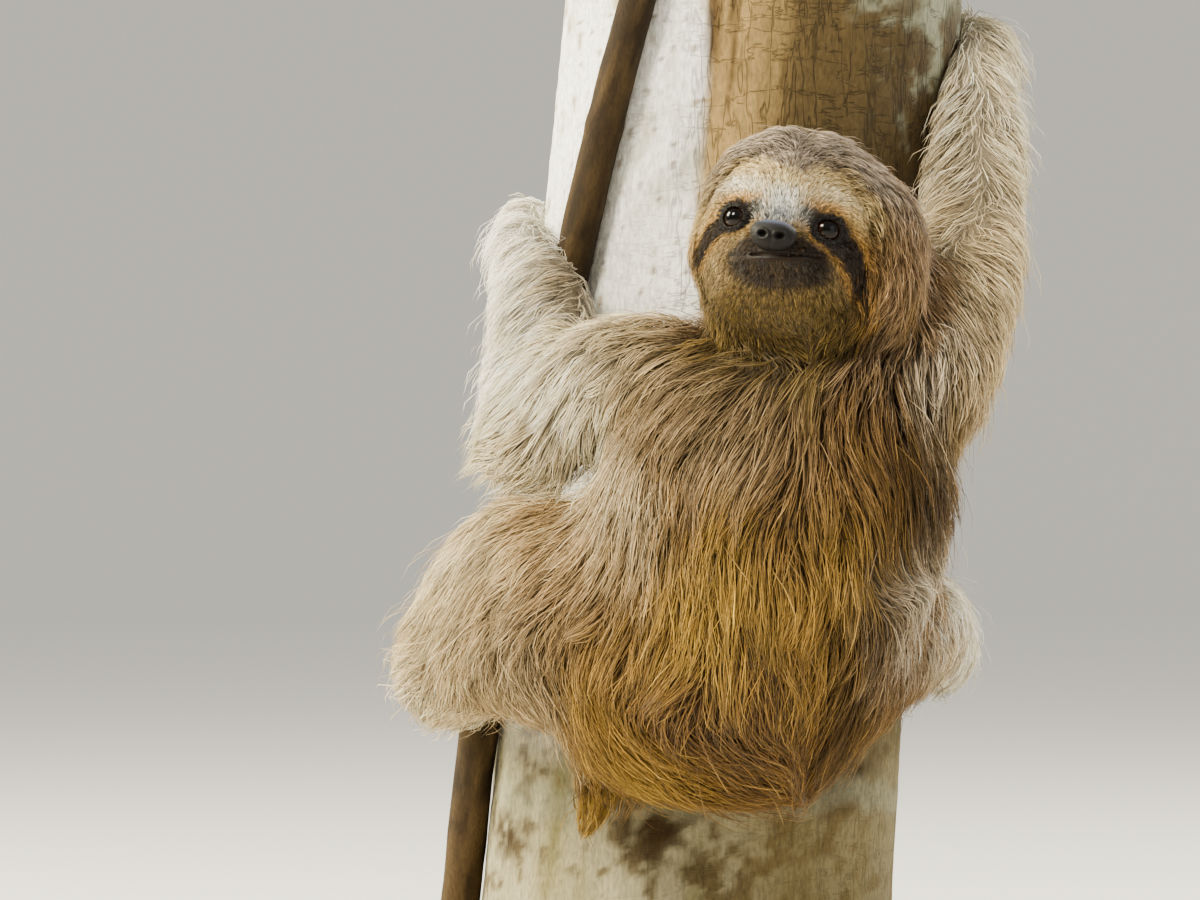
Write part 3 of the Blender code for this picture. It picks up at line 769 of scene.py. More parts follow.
    def build(self) -> None:
        """Bark as radius + relief, where relief adds lengthwise ridges, pocks and a soft noise.

        Each end is closed by smaller and smaller rings of bare wood.
        """
        turn = np.linspace(-math.pi, math.pi, self.sides, endpoint=False)
        turns, heights = np.meshgrid(turn, np.linspace(self.bottom, self.top, self.courses))
        turns, heights = turns.ravel(), heights.ravel()
        ridges = rough_noise(self.around(turns, heights, 0.16), 0.009, 5, 3)
        pocks = rough_noise(self.around(turns, heights), 0.014, 8, 3)
        pale = smooth_step(14, 28, np.degrees(turns)) * smooth_step(140, 120, np.degrees(turns))
        coarse = ridges * (1 - 0.75 * pale) + 0.8 * pocks * (0.4 + 0.6 * pale)
        skin = self.beside(turns, heights, self.relief * coarse).reshape(self.courses, self.sides, 3)
        shrink = np.array(self.end_rings)
        middles = skin[[0, -1]].mean(axis=1)
        foot, crown = (
            middle + (skin[end] - middle) * shrink[:, None, None] for end, middle in zip((0, -1), middles)
        )
        made = tube(np.concatenate([foot[::-1], skin, crown]))
        wood = np.repeat(painted(Bark.WOOD, (Bark.CORE, shrink)), self.sides, axis=0)
        poles = np.tile(linear(Bark.CORE), (2, 1))
        made.values["bark"] = np.concatenate([wood[::-1], self.tones(turns, heights), wood, poles])
        made.values["crack"] = np.pad(self.cracks(turns, heights), (len(wood), len(wood) + len(poles)))
        made.piece("trunk_bark", BarkFinish().make(), "bark", ["perch_trunk"])


@dataclass
class Liana:
    """The woody climber that winds up the trunk beside the animal."""

    trunk: Trunk
    thickness: float = 0.0105
    top_angle: float = 35.0
    top: float = 0.610
    twist: float = 112.0
    twist_height: float = 0.570
    sides: int = 24
    courses: int = 300
    relief: float = 0.0007
    knot: float = 0.0006
    round_end: float = 0.004

    def build(self) -> None:
        """A round section carried along the winding line, ridged lengthwise and swollen at its joints."""
        height = np.linspace(self.trunk.bottom + 0.004, self.top, self.courses)
        turn = np.radians(self.top_angle + self.twist * (self.twist_height - height))
        radius = self.thickness * (1.05 - 0.18 * height)
        path = self.trunk.beside(turn, height, radius + 0.0008)
        square, sideways = frames_along(path, self.trunk.outward(path))
        angle = np.linspace(0, 2 * math.pi, self.sides, endpoint=False)
        angles, heights = np.meshgrid(angle, height)
        lines = np.stack([np.cos(angles), np.sin(angles), heights * 18], axis=-1).reshape(-1, 3) * 0.010
        ridges = rough_noise(lines, 0.005, 61, 3).reshape(angles.shape)
        knots = hill((heights, 0.305, 0.006)) + hill((heights, 0.505, 0.005))
        ends = np.minimum(heights - heights.min(), heights.max() - heights)
        inner = np.clip(ends / self.round_end, 0.0, 1.0)
        round_off = 0.15 + 0.85 * np.sqrt(inner * (2 - inner))
        reach = (radius[:, None] - 0.0003 + self.relief * ridges + self.knot * knots) * round_off
        across = np.cos(angles)[..., None] * sideways[:, None] + np.sin(angles)[..., None] * square[:, None]
        made = tube(path[:, None] + reach[..., None] * across)
        share = smooth_step(-0.5, 0.5, ridges.ravel() + 0.5 * rough_noise(made.points[:-2], 0.02, 71))
        tone = painted(Bark.LIANA, (Bark.LIANA_RIDGE, share))
        made.values["bark"] = np.concatenate([tone, tone[[0, -1]]])
        finish = BarkFinish(name="ridged_liana_bark", speck=0.0014, depth=0.0006)
        made.piece("liana_stem", finish.make(), "liana_bark", ["perch_liana"])


# ---------------------------------------------------------------- stand


@dataclass
class Stand:
    """A round board and two short rods with flanges, which carry the trunk."""

    trunk: Trunk
    radius: float = 0.200
    thickness: float = 0.018
    edge: float = 0.004
    rod_radius: float = 0.009
    rod_spread: float = 0.085
    rod_y: float = 0.065
    rod_top: float = 0.108
    flange_radius: float = 0.022
    flange: float = 0.005
    flange_edge: float = 0.0015
    fillet: float = 0.003
    chamfer: float = 0.001
    sides: int = 128
    rod_sides: int = 48

    def rounded(self, radius: float, low: float, high: float, edge: float, lower_edge: float) -> Array:
        """Profile of a disc with quarter-round edges, as radius and height rows."""
        bend = np.linspace(0, math.pi / 2, 7)
        out, rise = np.sin(bend), 1 - np.cos(bend)
        foot = np.stack([radius + lower_edge * (out - 1), low + lower_edge * rise], axis=1)
        brow = np.stack([radius - edge * rise, high + edge * (out - 1)], axis=1)
        inner = np.linspace(0.15, 0.95, 5)
        under = np.stack([foot[0, 0] * inner, np.full(5, low)], axis=1)
        over = np.stack([brow[-1, 0] * inner[::-1], np.full(5, high)], axis=1)
        return np.concatenate([under, foot, brow, over])

    def post(self) -> Array:
        """Profile of a rod with its flange: a collar, a fillet up to the rod, and the rod's chamfered top."""
        low, high = self.thickness, self.thickness + self.flange
        collar = self.rounded(self.flange_radius, low - 0.0002, high, self.flange_edge, 0.0002)[:-5]
        bend = np.linspace(0, math.pi / 2, 6)
        across = self.rod_radius + self.fillet * (1 - np.sin(bend))
        neck = np.stack([across, high + self.fillet * (1 - np.cos(bend))], axis=1)
        top = [
            [self.rod_radius, self.rod_top - self.chamfer],
            [self.rod_radius - self.chamfer, self.rod_top],
        ]
        return np.concatenate([collar, neck, np.array(top)])

    def build(self) -> None:
        """The board, and each rod with its flange."""
        disc = self.rounded(self.radius, 0.0, self.thickness, self.edge, 0.0008)
        board = turned(disc, (0, 0, 0), self.sides)
        board.piece("stand_board_turned", BoardFinish().make(), "stand_board", ["stand_base"])
        steel = SteelFinish().make()
        for side, name in ((-1, "left"), (1, "right")):
            place = (self.trunk.foot_x + side * self.rod_spread / 2, self.rod_y, 0.0)
            rod = turned(self.post(), place, self.rod_sides)
            rod.piece(f"stand_post_{name}", steel, "stand_steel", [f"stand_rod_{name}"])


# ---------------------------------------------------------------- head


@dataclass(frozen=True)
class Form:
    """One rounded mass of the head: its centre, its half sizes and the depth of coat over it."""

    centre: tuple[float, float, float]
    half: tuple[float, float, float]
    coat: float


@dataclass
class Head:
    """The head in its own frame: -Y out of the face, +Z to the crown, and an eye on each side along X.

    A stripe_line row is a point of the dark stripe and its radius there: across, up and radius.
    """

    centre: tuple[float, float, float] = (0.0402, -0.103, 0.4430)
    yaw: float = -10.0
    pitch: float = -8.5
    roll: float = 8.0
    eye_radius: float = 0.0076
    eye_spacing: float = 0.0438
    eye_depth: float = -0.0345
    nose_centre: tuple[float, float, float] = (0.0, -0.0570, -0.0096)
    nose_half: tuple[float, float, float] = (0.0112, 0.0070, 0.0080)
    mouth_half_width: float = 0.0212
    mouth_offset: float = 0.0004
    mouth_height: float = -0.0190
    mouth_smile: float = 0.0022
    mouth_tilt: float = 0.0026
    mouth_front: float = -0.0570
    mouth_wrap: float = 0.0180
    lid: float = 0.0013
    recess: float = 0.0007
    opening: tuple[float, float, float] = (0.0060, 0.0062, 0.0050)
    blend: float = 0.010
    forms: tuple[Form, ...] = (
        Form((0, 0.005, 0.012), (0.049, 0.046, 0.045), 0.0036),
        Form((0, -0.010, -0.012), (0.049, 0.036, 0.038), 0.0035),
        Form((0, -0.026, 0.009), (0.037, 0.019, 0.020), 0.0030),
        Form((0, -0.042, -0.019), (0.021, 0.017, 0.014), 0.0022),
        Form((0, -0.029, -0.036), (0.028, 0.021, 0.018), 0.0030),
        Form((0.004, -0.008, -0.041), (0.040, 0.034, 0.023), 0.0045),
        Form((0.032, 0.012, 0.005), (0.038, 0.036, 0.044), 0.0120),
        Form((0.038, 0.010, -0.020), (0.034, 0.032, 0.036), 0.0120),
        Form((-0.018, 0.014, -0.006), (0.032, 0.034, 0.042), 0.0110),
    )
    stripe_line: tuple[tuple[float, float, float], ...] = (
        (0.0115, 0.0045, 0.0034),
        (0.0222, 0.0005, 0.0078),
        (0.0330, -0.0075, 0.0058),
        (0.0390, -0.0165, 0.0042),
        (0.0425, -0.0270, 0.0030),
    )

    def __post_init__(self) -> None:
        """Work out the frame and the feature lines."""
        turn = Matrix.Rotation(math.radians(self.yaw), 3, "Z")
        turn = turn @ Matrix.Rotation(math.radians(self.pitch), 3, "X")
        turn = turn @ Matrix.Rotation(math.radians(self.roll), 3, "Y")
        self.turn = np.array(turn)
        self.mouth_share = np.linspace(-1, 1, 11)
        self.mouth = self.mouth_at(self.mouth_share)

    def mouth_at(self, share: Array) -> Array:
        """Places on the mouth line, whose share runs from -1 at one corner to 1 at the other."""
        across = self.mouth_offset + self.mouth_half_width * share
        deep = self.mouth_front + self.mouth_wrap * share**2
        high = self.mouth_height + self.mouth_tilt * share + self.mouth_smile * share**2
        return np.stack([across, deep, high], axis=1)

    def inward(self, points: Array) -> Array:
        """Model places in the head's frame."""
        return (points - np.array(self.centre)) @ self.turn

    def outward(self, places: Array) -> Array:
        """Places in the head's frame back in the model."""
        return places @ self.turn.T + np.array(self.centre)

    def eye_centre(self, side: int) -> Array:
        """The middle of the eye on the side of -1 or +1 along X."""
        return np.array([side * self.eye_spacing / 2, self.eye_depth, 0.0])

    def gaze(self, side: int) -> tuple[Array, Array, Array]:
        """The eye's own directions: out of the pupil, sideways and up."""
        ahead = unit(np.array([side * 0.34, -0.93, 0.06]))
        sideways = unit(np.cross(ahead, np.array([0, 0, 1.0])))
        return ahead, sideways, np.cross(sideways, ahead)

    def height(self, points: Array) -> Array:
        """Distance outside the bare head: the forms less their coat, blended, then the face's folds.

        Each eye has a mound of lid as thick as the lid round its ball, opened by an ellipsoid along the
        gaze. Lips are tubes above and below the mouth line, and the line is a groove between them.
        """
        place = self.inward(points)
        bare = np.full(len(place), 1.0)
        for form in self.forms:
            half = np.array(form.half) - form.coat
            bare = smooth_min(bare, ellipsoid_height(place, form.centre, half), self.blend)
        front = place[:, 1] < -0.010
        if not front.any():
            return bare
        near, face = place[front], bare[front]
        for side in (-1, 1):
            centre = self.eye_centre(side)
            ahead, sideways, up = self.gaze(side)
            offset = near - centre
            ball = np.linalg.norm(offset, axis=1)
            own = np.stack([offset @ sideways, offset @ ahead, offset @ up], axis=1)
            brow = ellipsoid_height(own, (0.0, 0.0036, 0.0085), (0.0105, 0.0030, 0.0022))
            bag = ellipsoid_height(own, (0.0, 0.0030, -0.0084), (0.0090, 0.0026, 0.0016))
            lids = ball - self.eye_radius - self.lid
            for fold, reach in ((brow, 0.0050), (bag, 0.0040), (lids, 0.0030)):
                face = smooth_min(face, fold, reach)
            own[:, 2] += 0.0005 - 0.12 * side * own[:, 0]
            opening = ellipsoid_height(own, (0.0, 0.95 * self.eye_radius, 0.0), self.opening)
            under = self.eye_radius - self.recess - ball
            face = smooth_max(face, -smooth_max(opening, under, 0.0005), 0.0006)
        thin = 1 - 0.55 * self.mouth_share**2
        for offset, radius in (((0, 0.0006, 0.0017), 0.0016), ((0, 0.0008, -0.0020), 0.0019)):
            face = smooth_min(face, path_height(near, self.mouth + np.array(offset), radius * thin), 0.0025)
        groove = path_height(near, self.mouth + np.array([0, -0.0010, 0]), 0.0008 * thin)
        face = smooth_max(face, -groove, 0.0010)
        bare[front] = face
        return bare

    def stripe(self, place: Array) -> Array:
        """Distance outside the dark stripe that runs from the inner corner of each eye to the jaw.

        Beyond the eye the animal's right stripe is shorter, which stretching the place's own offset does.
        """
        side, up = np.abs(place[:, 0]), place[:, 2]
        eye, right = self.stripe_line[1][0], place[:, 0] < 0
        side = np.where(right & (side > eye), eye + 1.12 * (side - eye), side)
        up = np.where(right & (up < 0), 1.38 * up, up)
        folded = np.stack([side, up, np.zeros(len(place))], axis=1)
        line = np.array([(across, high, 0) for across, high, _ in self.stripe_line])
        return path_height(folded, line, np.array([radius for _, _, radius in self.stripe_line]))

    def eye_gap(self, place: Array) -> Array:
        """Distance from the nearer eye's ball."""
        gaps = [np.linalg.norm(place - self.eye_centre(side), axis=1) for side in (-1, 1)]
        return np.minimum(*gaps) - self.eye_radius

    def nose_gap(self, place: Array) -> Array:
        """Distance outside the nose pad."""
        return ellipsoid_height(place, self.nose_centre, self.nose_half)

    def mouth_gap(self, place: Array) -> Array:
        """Distance from the mouth line."""
        return path_height(place, self.mouth, np.zeros(len(self.mouth)))

    def face_share(self, place: Array) -> Array:
        """1 on the short-haired disc of the face, falling to 0 at its rim and behind it."""
        rim = np.hypot(place[:, 0] / 0.0415, (place[:, 2] + 0.0085) / 0.0460)
        return smooth_step(1.12, 0.90, rim) * smooth_step(0.004, -0.012, place[:, 1])


# ---------------------------------------------------------------- flesh and skin


class Fur(StrEnum):
    """Named tones of the coat."""

    # Milk white: pale fur, whitened further as painted sunlight.
    MILK_AND_PAINTED_LIGHT = "#fff6de"
    CREAM = "#f0e4c4"
    STRAW = "#dcbc66"
    BEIGE = "#dccba6"
    SAND = "#bea477"
    OCHRE = "#987728"
    GOLD = "#a8852e"
    TAUPE = "#a08c68"
    BROWN = "#6e4e1e"
    UMBER = "#3a2b13"
    RUST = "#7c5e2c"
    SILVER = "#d6ccb8"


@dataclass(frozen=True)
class Part:
    """One part of the flesh: how deep its coat is, its tone, and the way its hair runs where no stroke is."""

    coat: float
    tone: Fur
    way: tuple[float, float, float]


PARTS = {
    "head": Part(0.016, Fur.TAUPE, (0.0, 0.3, -1.0)),
    "neck": Part(0.012, Fur.BROWN, (-0.3, 0.0, -1.0)),
    "torso": Part(0.015, Fur.BROWN, (0.0, 0.0, -1.0)),
    "tail": Part(0.006, Fur.OCHRE, (-0.25, 0.2, -0.95)),
    "upper_arm_left": Part(0.011, Fur.BEIGE, (-0.8, 0.2, -0.6)),
    "upper_arm_right": Part(0.011, Fur.SAND, (0.1, -0.3, -1.0)),
    # Pale fur, whitened further as painted sunlight on the left forearm.
    "forearm_left": Part(0.010, Fur.MILK_AND_PAINTED_LIGHT, (-0.2, -0.5, -0.9)),
    "forearm_right": Part(0.009, Fur.BEIGE, (0.1, -0.5, -0.9)),
    # Pale fur, whitened further as painted sunlight on the left hand.
    "hand_left": Part(0.004, Fur.MILK_AND_PAINTED_LIGHT, (0.5, 0.85, -0.15)),
    "hand_right": Part(0.004, Fur.BEIGE, (-0.5, 0.85, -0.15)),
    "thigh_left": Part(0.013, Fur.SAND, (-0.7, 0.1, -0.7)),
    "thigh_right": Part(0.009, Fur.SAND, (0.5, 0.4, -0.8)),
    "shank_left": Part(0.009, Fur.BEIGE, (-0.5, -0.5, -0.8)),
    "shank_right": Part(0.009, Fur.CREAM, (0.4, -0.4, -0.8)),
    "foot_left": Part(0.004, Fur.SAND, (0.5, 0.85, -0.15)),
    "foot_right": Part(0.004, Fur.SAND, (-0.5, 0.85, -0.15)),
}


@dataclass
class Field:
    """Values on a grid of cubes."""

    first: Array
    cube: float
    values: Array

    def at(self, points: Array) -> Array:
        """Values between the grid's points, by trilinear blending of the eight around each place."""
        place = points / self.cube - self.first
        place = np.clip(place, 0, np.array(self.values.shape[:3]) - 1.001)
        base = place.astype(int)
        part = place - base
        total = 0.0
        for corner in itertools.product((0, 1), repeat=3):
            share = np.prod(np.where(np.array(corner) == 1, part, 1 - part), axis=1)
            found = self.values[tuple((base + np.array(corner)).T)]
            total = total + (share * found.T).T
        return total

    def nearest(self, points: Array) -> Array:
        """The value of the grid point nearest to each place."""
        place = np.rint(points / self.cube - self.first).astype(int)
        return self.values[tuple(np.clip(place, 0, np.array(self.values.shape) - 1).T)]


@dataclass
class Body:
    """The flesh as distances on a grid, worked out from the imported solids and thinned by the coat."""

    head: Head
    trunk: Trunk
    cube: float = 0.003
    band: int = 9
    margin: float = 0.018
    overlap: float = 0.0014
    blend: float = 0.012

    def grid_first(self) -> tuple[int, ...]:
        """The grid's first place, as the level set's own calls take it."""
        return tuple(int(value) for value in self.first)

    def distances(self, points: Array, triangles: Array | None, quads: Array | None) -> Array:
        """Signed distances from a closed surface at every grid point, cut off at the band's width."""
        grid = openvdb.FloatGrid.createLevelSetFromPolygons(
            points.astype(np.float32),
            triangles=None if triangles is None else triangles.astype(np.uint32),
            quads=None if quads is None else quads.astype(np.uint32),
            transform=openvdb.createLinearTransform(self.cube),
            halfWidth=float(self.band),
        )
        dense = np.zeros(self.count, np.float32)
        grid.copyToArray(dense, ijk=self.grid_first())
        return dense

    def surface(self, dense: Array) -> tuple[Array, Array]:
        """Points and quads where the distances cross zero."""
        grid = openvdb.FloatGrid(self.cube * self.band)
        grid.copyFromArray(dense.astype(np.float32), ijk=self.grid_first())
        grid.transform = openvdb.createLinearTransform(self.cube)
        points, _, quads = grid.convertToPolygons(isovalue=0.0, adaptivity=0.0)
        return np.asarray(points, float), np.asarray(quads, int)

    def gather(self, nodes: dict[str, Any]) -> None:
        """Work out the grids of the whole flesh, its skin, the coat's depth, the nearest part and the tones.

        The solids only touch, so each is grown by the overlap and the lowest distance is taken. Its
        surface gives true distances of the whole. These are smoothed, and the coat's depth at each
        place is added to them. The depth blends the parts' depths by exp(-distance / 8 mm), and falls
        to a fifth where flesh meets the trunk. The parts' tones blend by exp(-distance / 5 mm).
        """
        meshes = {}
        for name in PARTS:
            mesh = nodes[name].data
            mesh.calc_loop_triangles()
            points = np.empty(len(mesh.vertices) * 3, np.float32)
            mesh.vertices.foreach_get("co", points)
            corners = np.empty(len(mesh.loop_triangles) * 3, np.int32)
            mesh.loop_triangles.foreach_get("vertices", corners)
            meshes[name] = points.reshape(-1, 3), corners.reshape(-1, 3)
        every = np.concatenate([points for points, _ in meshes.values()])
        self.first = np.floor((every.min(axis=0) - self.margin) / self.cube).astype(int)
        self.count = np.ceil((every.max(axis=0) + self.margin) / self.cube).astype(int) - self.first + 1
        nearest = np.full(self.count, self.cube * self.band, np.float32)
        owner = np.zeros(self.count, np.int16)
        total, deep, near = np.zeros((3, *self.count), np.float32)
        tone = np.zeros((*self.count, 3), np.float32)

        def weight(distance: Array, reach: float) -> Array:
            """exp(-distance / reach), less what it is at the band's edge."""
            return np.exp(-distance / reach) - math.exp(-self.cube * self.band / reach) + 1e-6

        for place, (name, part) in enumerate(PARTS.items()):
            distance = self.distances(*meshes[name], None)
            owner[distance < nearest] = place
            nearest = np.minimum(nearest, distance)
            share = weight(distance, 0.008)
            total += share
            deep += share * part.coat
            strong = weight(distance, 0.005)
            near += strong
            tone += strong[..., None] * linear(part.tone).astype(np.float32)
        points, quads = self.surface(nearest - self.overlap)
        whole = smoothed(self.distances(points, None, quads), 5) + self.overlap * 0.5
        spots = np.stack(np.meshgrid(*[np.arange(size) for size in self.count], indexing="ij"), axis=-1)
        spots = ((spots.reshape(-1, 3) + self.first) * self.cube).astype(float)
        beside = self.trunk.stand_off(spots).reshape(self.count)
        depth = deep / total * (0.2 + 0.8 * smooth_step(0.000, 0.022, beside))
        bare = whole + smoothed(depth, 3)
        around = np.abs(spots - np.array(self.head.centre)).max(axis=1) < 0.095
        flat = bare.ravel().copy()
        flat[around] = smooth_min(flat[around], self.head.height(spots[around]), self.blend)
        self.rough, self.limbs, self.depth, self.owner, self.tone = (
            Field(self.first, self.cube, values)
            for values in (flat.reshape(self.count), bare, depth, owner, tone / near[..., None])
        )

    def height(self, points: Array, fine: bool) -> Array:
        """Distance outside the skin, with the face's folds where fine is true."""
        if not fine:
            return self.rough.at(points)
        return smooth_min(self.limbs.at(points), self.head.height(points), self.blend)

    def slope(self, points: Array, fine: bool) -> Array:
        """Direction away from the skin, from the height at four corners of a small tetrahedron."""
        step = 0.0006 if fine else 0.002
        corners = np.array([(1, -1, -1), (-1, -1, 1), (-1, 1, -1), (1, 1, 1)], float)
        total = np.zeros_like(points)
        for corner in corners:
            total += self.height(points + step * corner, fine)[:, None] * corner
        return total / (4 * step)

    def settle(self, points: Array, height: Array | float, fine: bool, rounds: int = 2) -> Array:
        """Move points along the slope until they are at a height over the skin."""
        for _ in range(rounds):
            slope = self.slope(points, fine)
            gap = height - self.height(points, fine)
            points = points + gap[:, None] * slope / np.maximum(dot(slope, slope), 0.2)
        return points

    def part_names(self, points: Array) -> Array:
        """The name of the part that each place belongs to."""
        return np.array(list(PARTS))[self.owner.nearest(points)]


def smoothed(values: Array, rounds: int) -> Array:
    """Blend each value with its neighbours along each axis by quarter, half and quarter."""
    for _ in range(rounds):
        for axis in range(3):
            moved = np.moveaxis(values, axis, 0)
            inner = 0.25 * moved[:-2] + 0.5 * moved[1:-1] + 0.25 * moved[2:]
            moved = np.concatenate([moved[:1], inner, moved[-1:]])
            values = np.moveaxis(moved, 0, axis)
    return values


# ---------------------------------------------------------------- markings


@dataclass(frozen=True)
class Patch:
    """A soft-edged patch of one tone on the side that faces -Y: its place, reach and strength."""

    tone: Fur
    at: tuple[float, float]
    reach: tuple[float, float]
    strength: float


PATCHES = (
    # Painted shadow: dark umber on the upper back just under the chin.
    Patch(Fur.UMBER, (0.044, 0.382), (0.028, 0.013), 0.88),
    Patch(Fur.TAUPE, (-0.018, 0.388), (0.048, 0.024), 0.9),
    Patch(Fur.TAUPE, (0.012, 0.350), (0.036, 0.018), 0.52),
    Patch(Fur.CREAM, (-0.064, 0.372), (0.014, 0.024), 0.95),
    Patch(Fur.CREAM, (-0.054, 0.345), (0.012, 0.022), 0.75),
    Patch(Fur.BEIGE, (-0.030, 0.330), (0.009, 0.026), 0.75),
    Patch(Fur.SAND, (-0.044, 0.306), (0.020, 0.022), 0.75),
    Patch(Fur.GOLD, (-0.005, 0.276), (0.020, 0.032), 0.95),
    Patch(Fur.GOLD, (0.016, 0.306), (0.012, 0.018), 0.85),
    Patch(Fur.UMBER, (0.044, 0.324), (0.016, 0.016), 0.30),
    Patch(Fur.OCHRE, (0.026, 0.278), (0.028, 0.026), 0.50),
    Patch(Fur.UMBER, (0.020, 0.258), (0.007, 0.018), 0.40),
    Patch(Fur.UMBER, (0.002, 0.238), (0.008, 0.016), 0.35),
    Patch(Fur.OCHRE, (0.062, 0.302), (0.018, 0.028), 0.60),
    Patch(Fur.OCHRE, (0.050, 0.248), (0.016, 0.026), 0.5),
    Patch(Fur.UMBER, (0.096, 0.335), (0.022, 0.052), 0.85),
    Patch(Fur.UMBER, (0.074, 0.224), (0.024, 0.032), 0.80),
    Patch(Fur.TAUPE, (0.094, 0.190), (0.020, 0.020), 0.7),
    Patch(Fur.BROWN, (-0.002, 0.222), (0.036, 0.026), 0.7),
    Patch(Fur.GOLD, (-0.046, 0.190), (0.020, 0.012), 0.8),
    Patch(Fur.BROWN, (-0.010, 0.176), (0.034, 0.014), 0.85),
    Patch(Fur.RUST, (0.034, 0.176), (0.022, 0.010), 0.6),
    Patch(Fur.UMBER, (0.066, 0.196), (0.018, 0.012), 0.45),
    Patch(Fur.CREAM, (-0.124, 0.294), (0.026, 0.018), 0.65),
    Patch(Fur.BEIGE, (-0.140, 0.262), (0.018, 0.022), 0.8),
    Patch(Fur.TAUPE, (-0.098, 0.262), (0.040, 0.032), 0.65),
    Patch(Fur.OCHRE, (-0.052, 0.236), (0.020, 0.022), 0.6),
    Patch(Fur.CREAM, (-0.152, 0.230), (0.016, 0.014), 0.95),
    Patch(Fur.OCHRE, (-0.072, 0.200), (0.030, 0.010), 0.75),
    Patch(Fur.BEIGE, (-0.130, 0.206), (0.026, 0.008), 0.6),
    Patch(Fur.SAND, (-0.068, 0.425), (0.014, 0.022), 0.8),
    # Pale fur, whitened further as painted sunlight on the left upper arm and shoulder.
    Patch(Fur.MILK_AND_PAINTED_LIGHT, (-0.100, 0.420), (0.018, 0.050), 0.95),
    Patch(Fur.MILK_AND_PAINTED_LIGHT, (-0.092, 0.384), (0.022, 0.018), 0.80),
    Patch(Fur.BEIGE, (-0.104, 0.348), (0.020, 0.012), 0.7),
    Patch(Fur.CREAM, (0.145, 0.530), (0.022, 0.040), 0.75),
    Patch(Fur.BEIGE, (0.140, 0.480), (0.022, 0.034), 0.8),
    Patch(Fur.BEIGE, (0.124, 0.425), (0.022, 0.030), 0.35),
    Patch(Fur.SILVER, (0.110, 0.392), (0.014, 0.022), 0.45),
    # Pale fur, whitened further as painted light on the right knee.
    Patch(Fur.MILK_AND_PAINTED_LIGHT, (0.118, 0.274), (0.028, 0.026), 0.95),
    Patch(Fur.BROWN, (0.100, 0.222), (0.022, 0.026), 0.95),
)


class FaceFur(StrEnum):
    """Named tones of the head, in the order that they are painted in."""

    CHEEK = "#79643a"
    CHIN = "#5c491d"
    RIGHT_CHEEK = "#9c865a"
    LEFT_CHEEK = "#6b4f24"
    FOREHEAD = "#a98f58"
    BROW = "#efe6cc"
    UNDER_BROW = "#b38a4c"
    MIDDLE = "#dccba0"
    FLECK = "#7d6338"
    CROWN = "#908372"
    CROWN_EDGE = "#5f4d3c"
    BACK = "#7b6145"
    RUFF = "#866b4a"
    JAW_SHADE = "#2c1f0e"
    TEMPLE = "#6f5b3d"
    STRIPE_RIM = "#ae8036"
    STRIPE = "#241910"
    OVER_LEFT_EYE = "#2a1d12"
    BRIDGE = "#d8dcd4"
    OVER_NOSE = "#59616c"
    MUZZLE = "#33271a"
    NOSE_RIM = "#221910"
    MOUTH = "#1d150e"
    # Painted highlight: a blue-grey gleam on the lower lip.
    LIP_HIGHLIGHT = "#4d5359"
    LID = "#120c08"


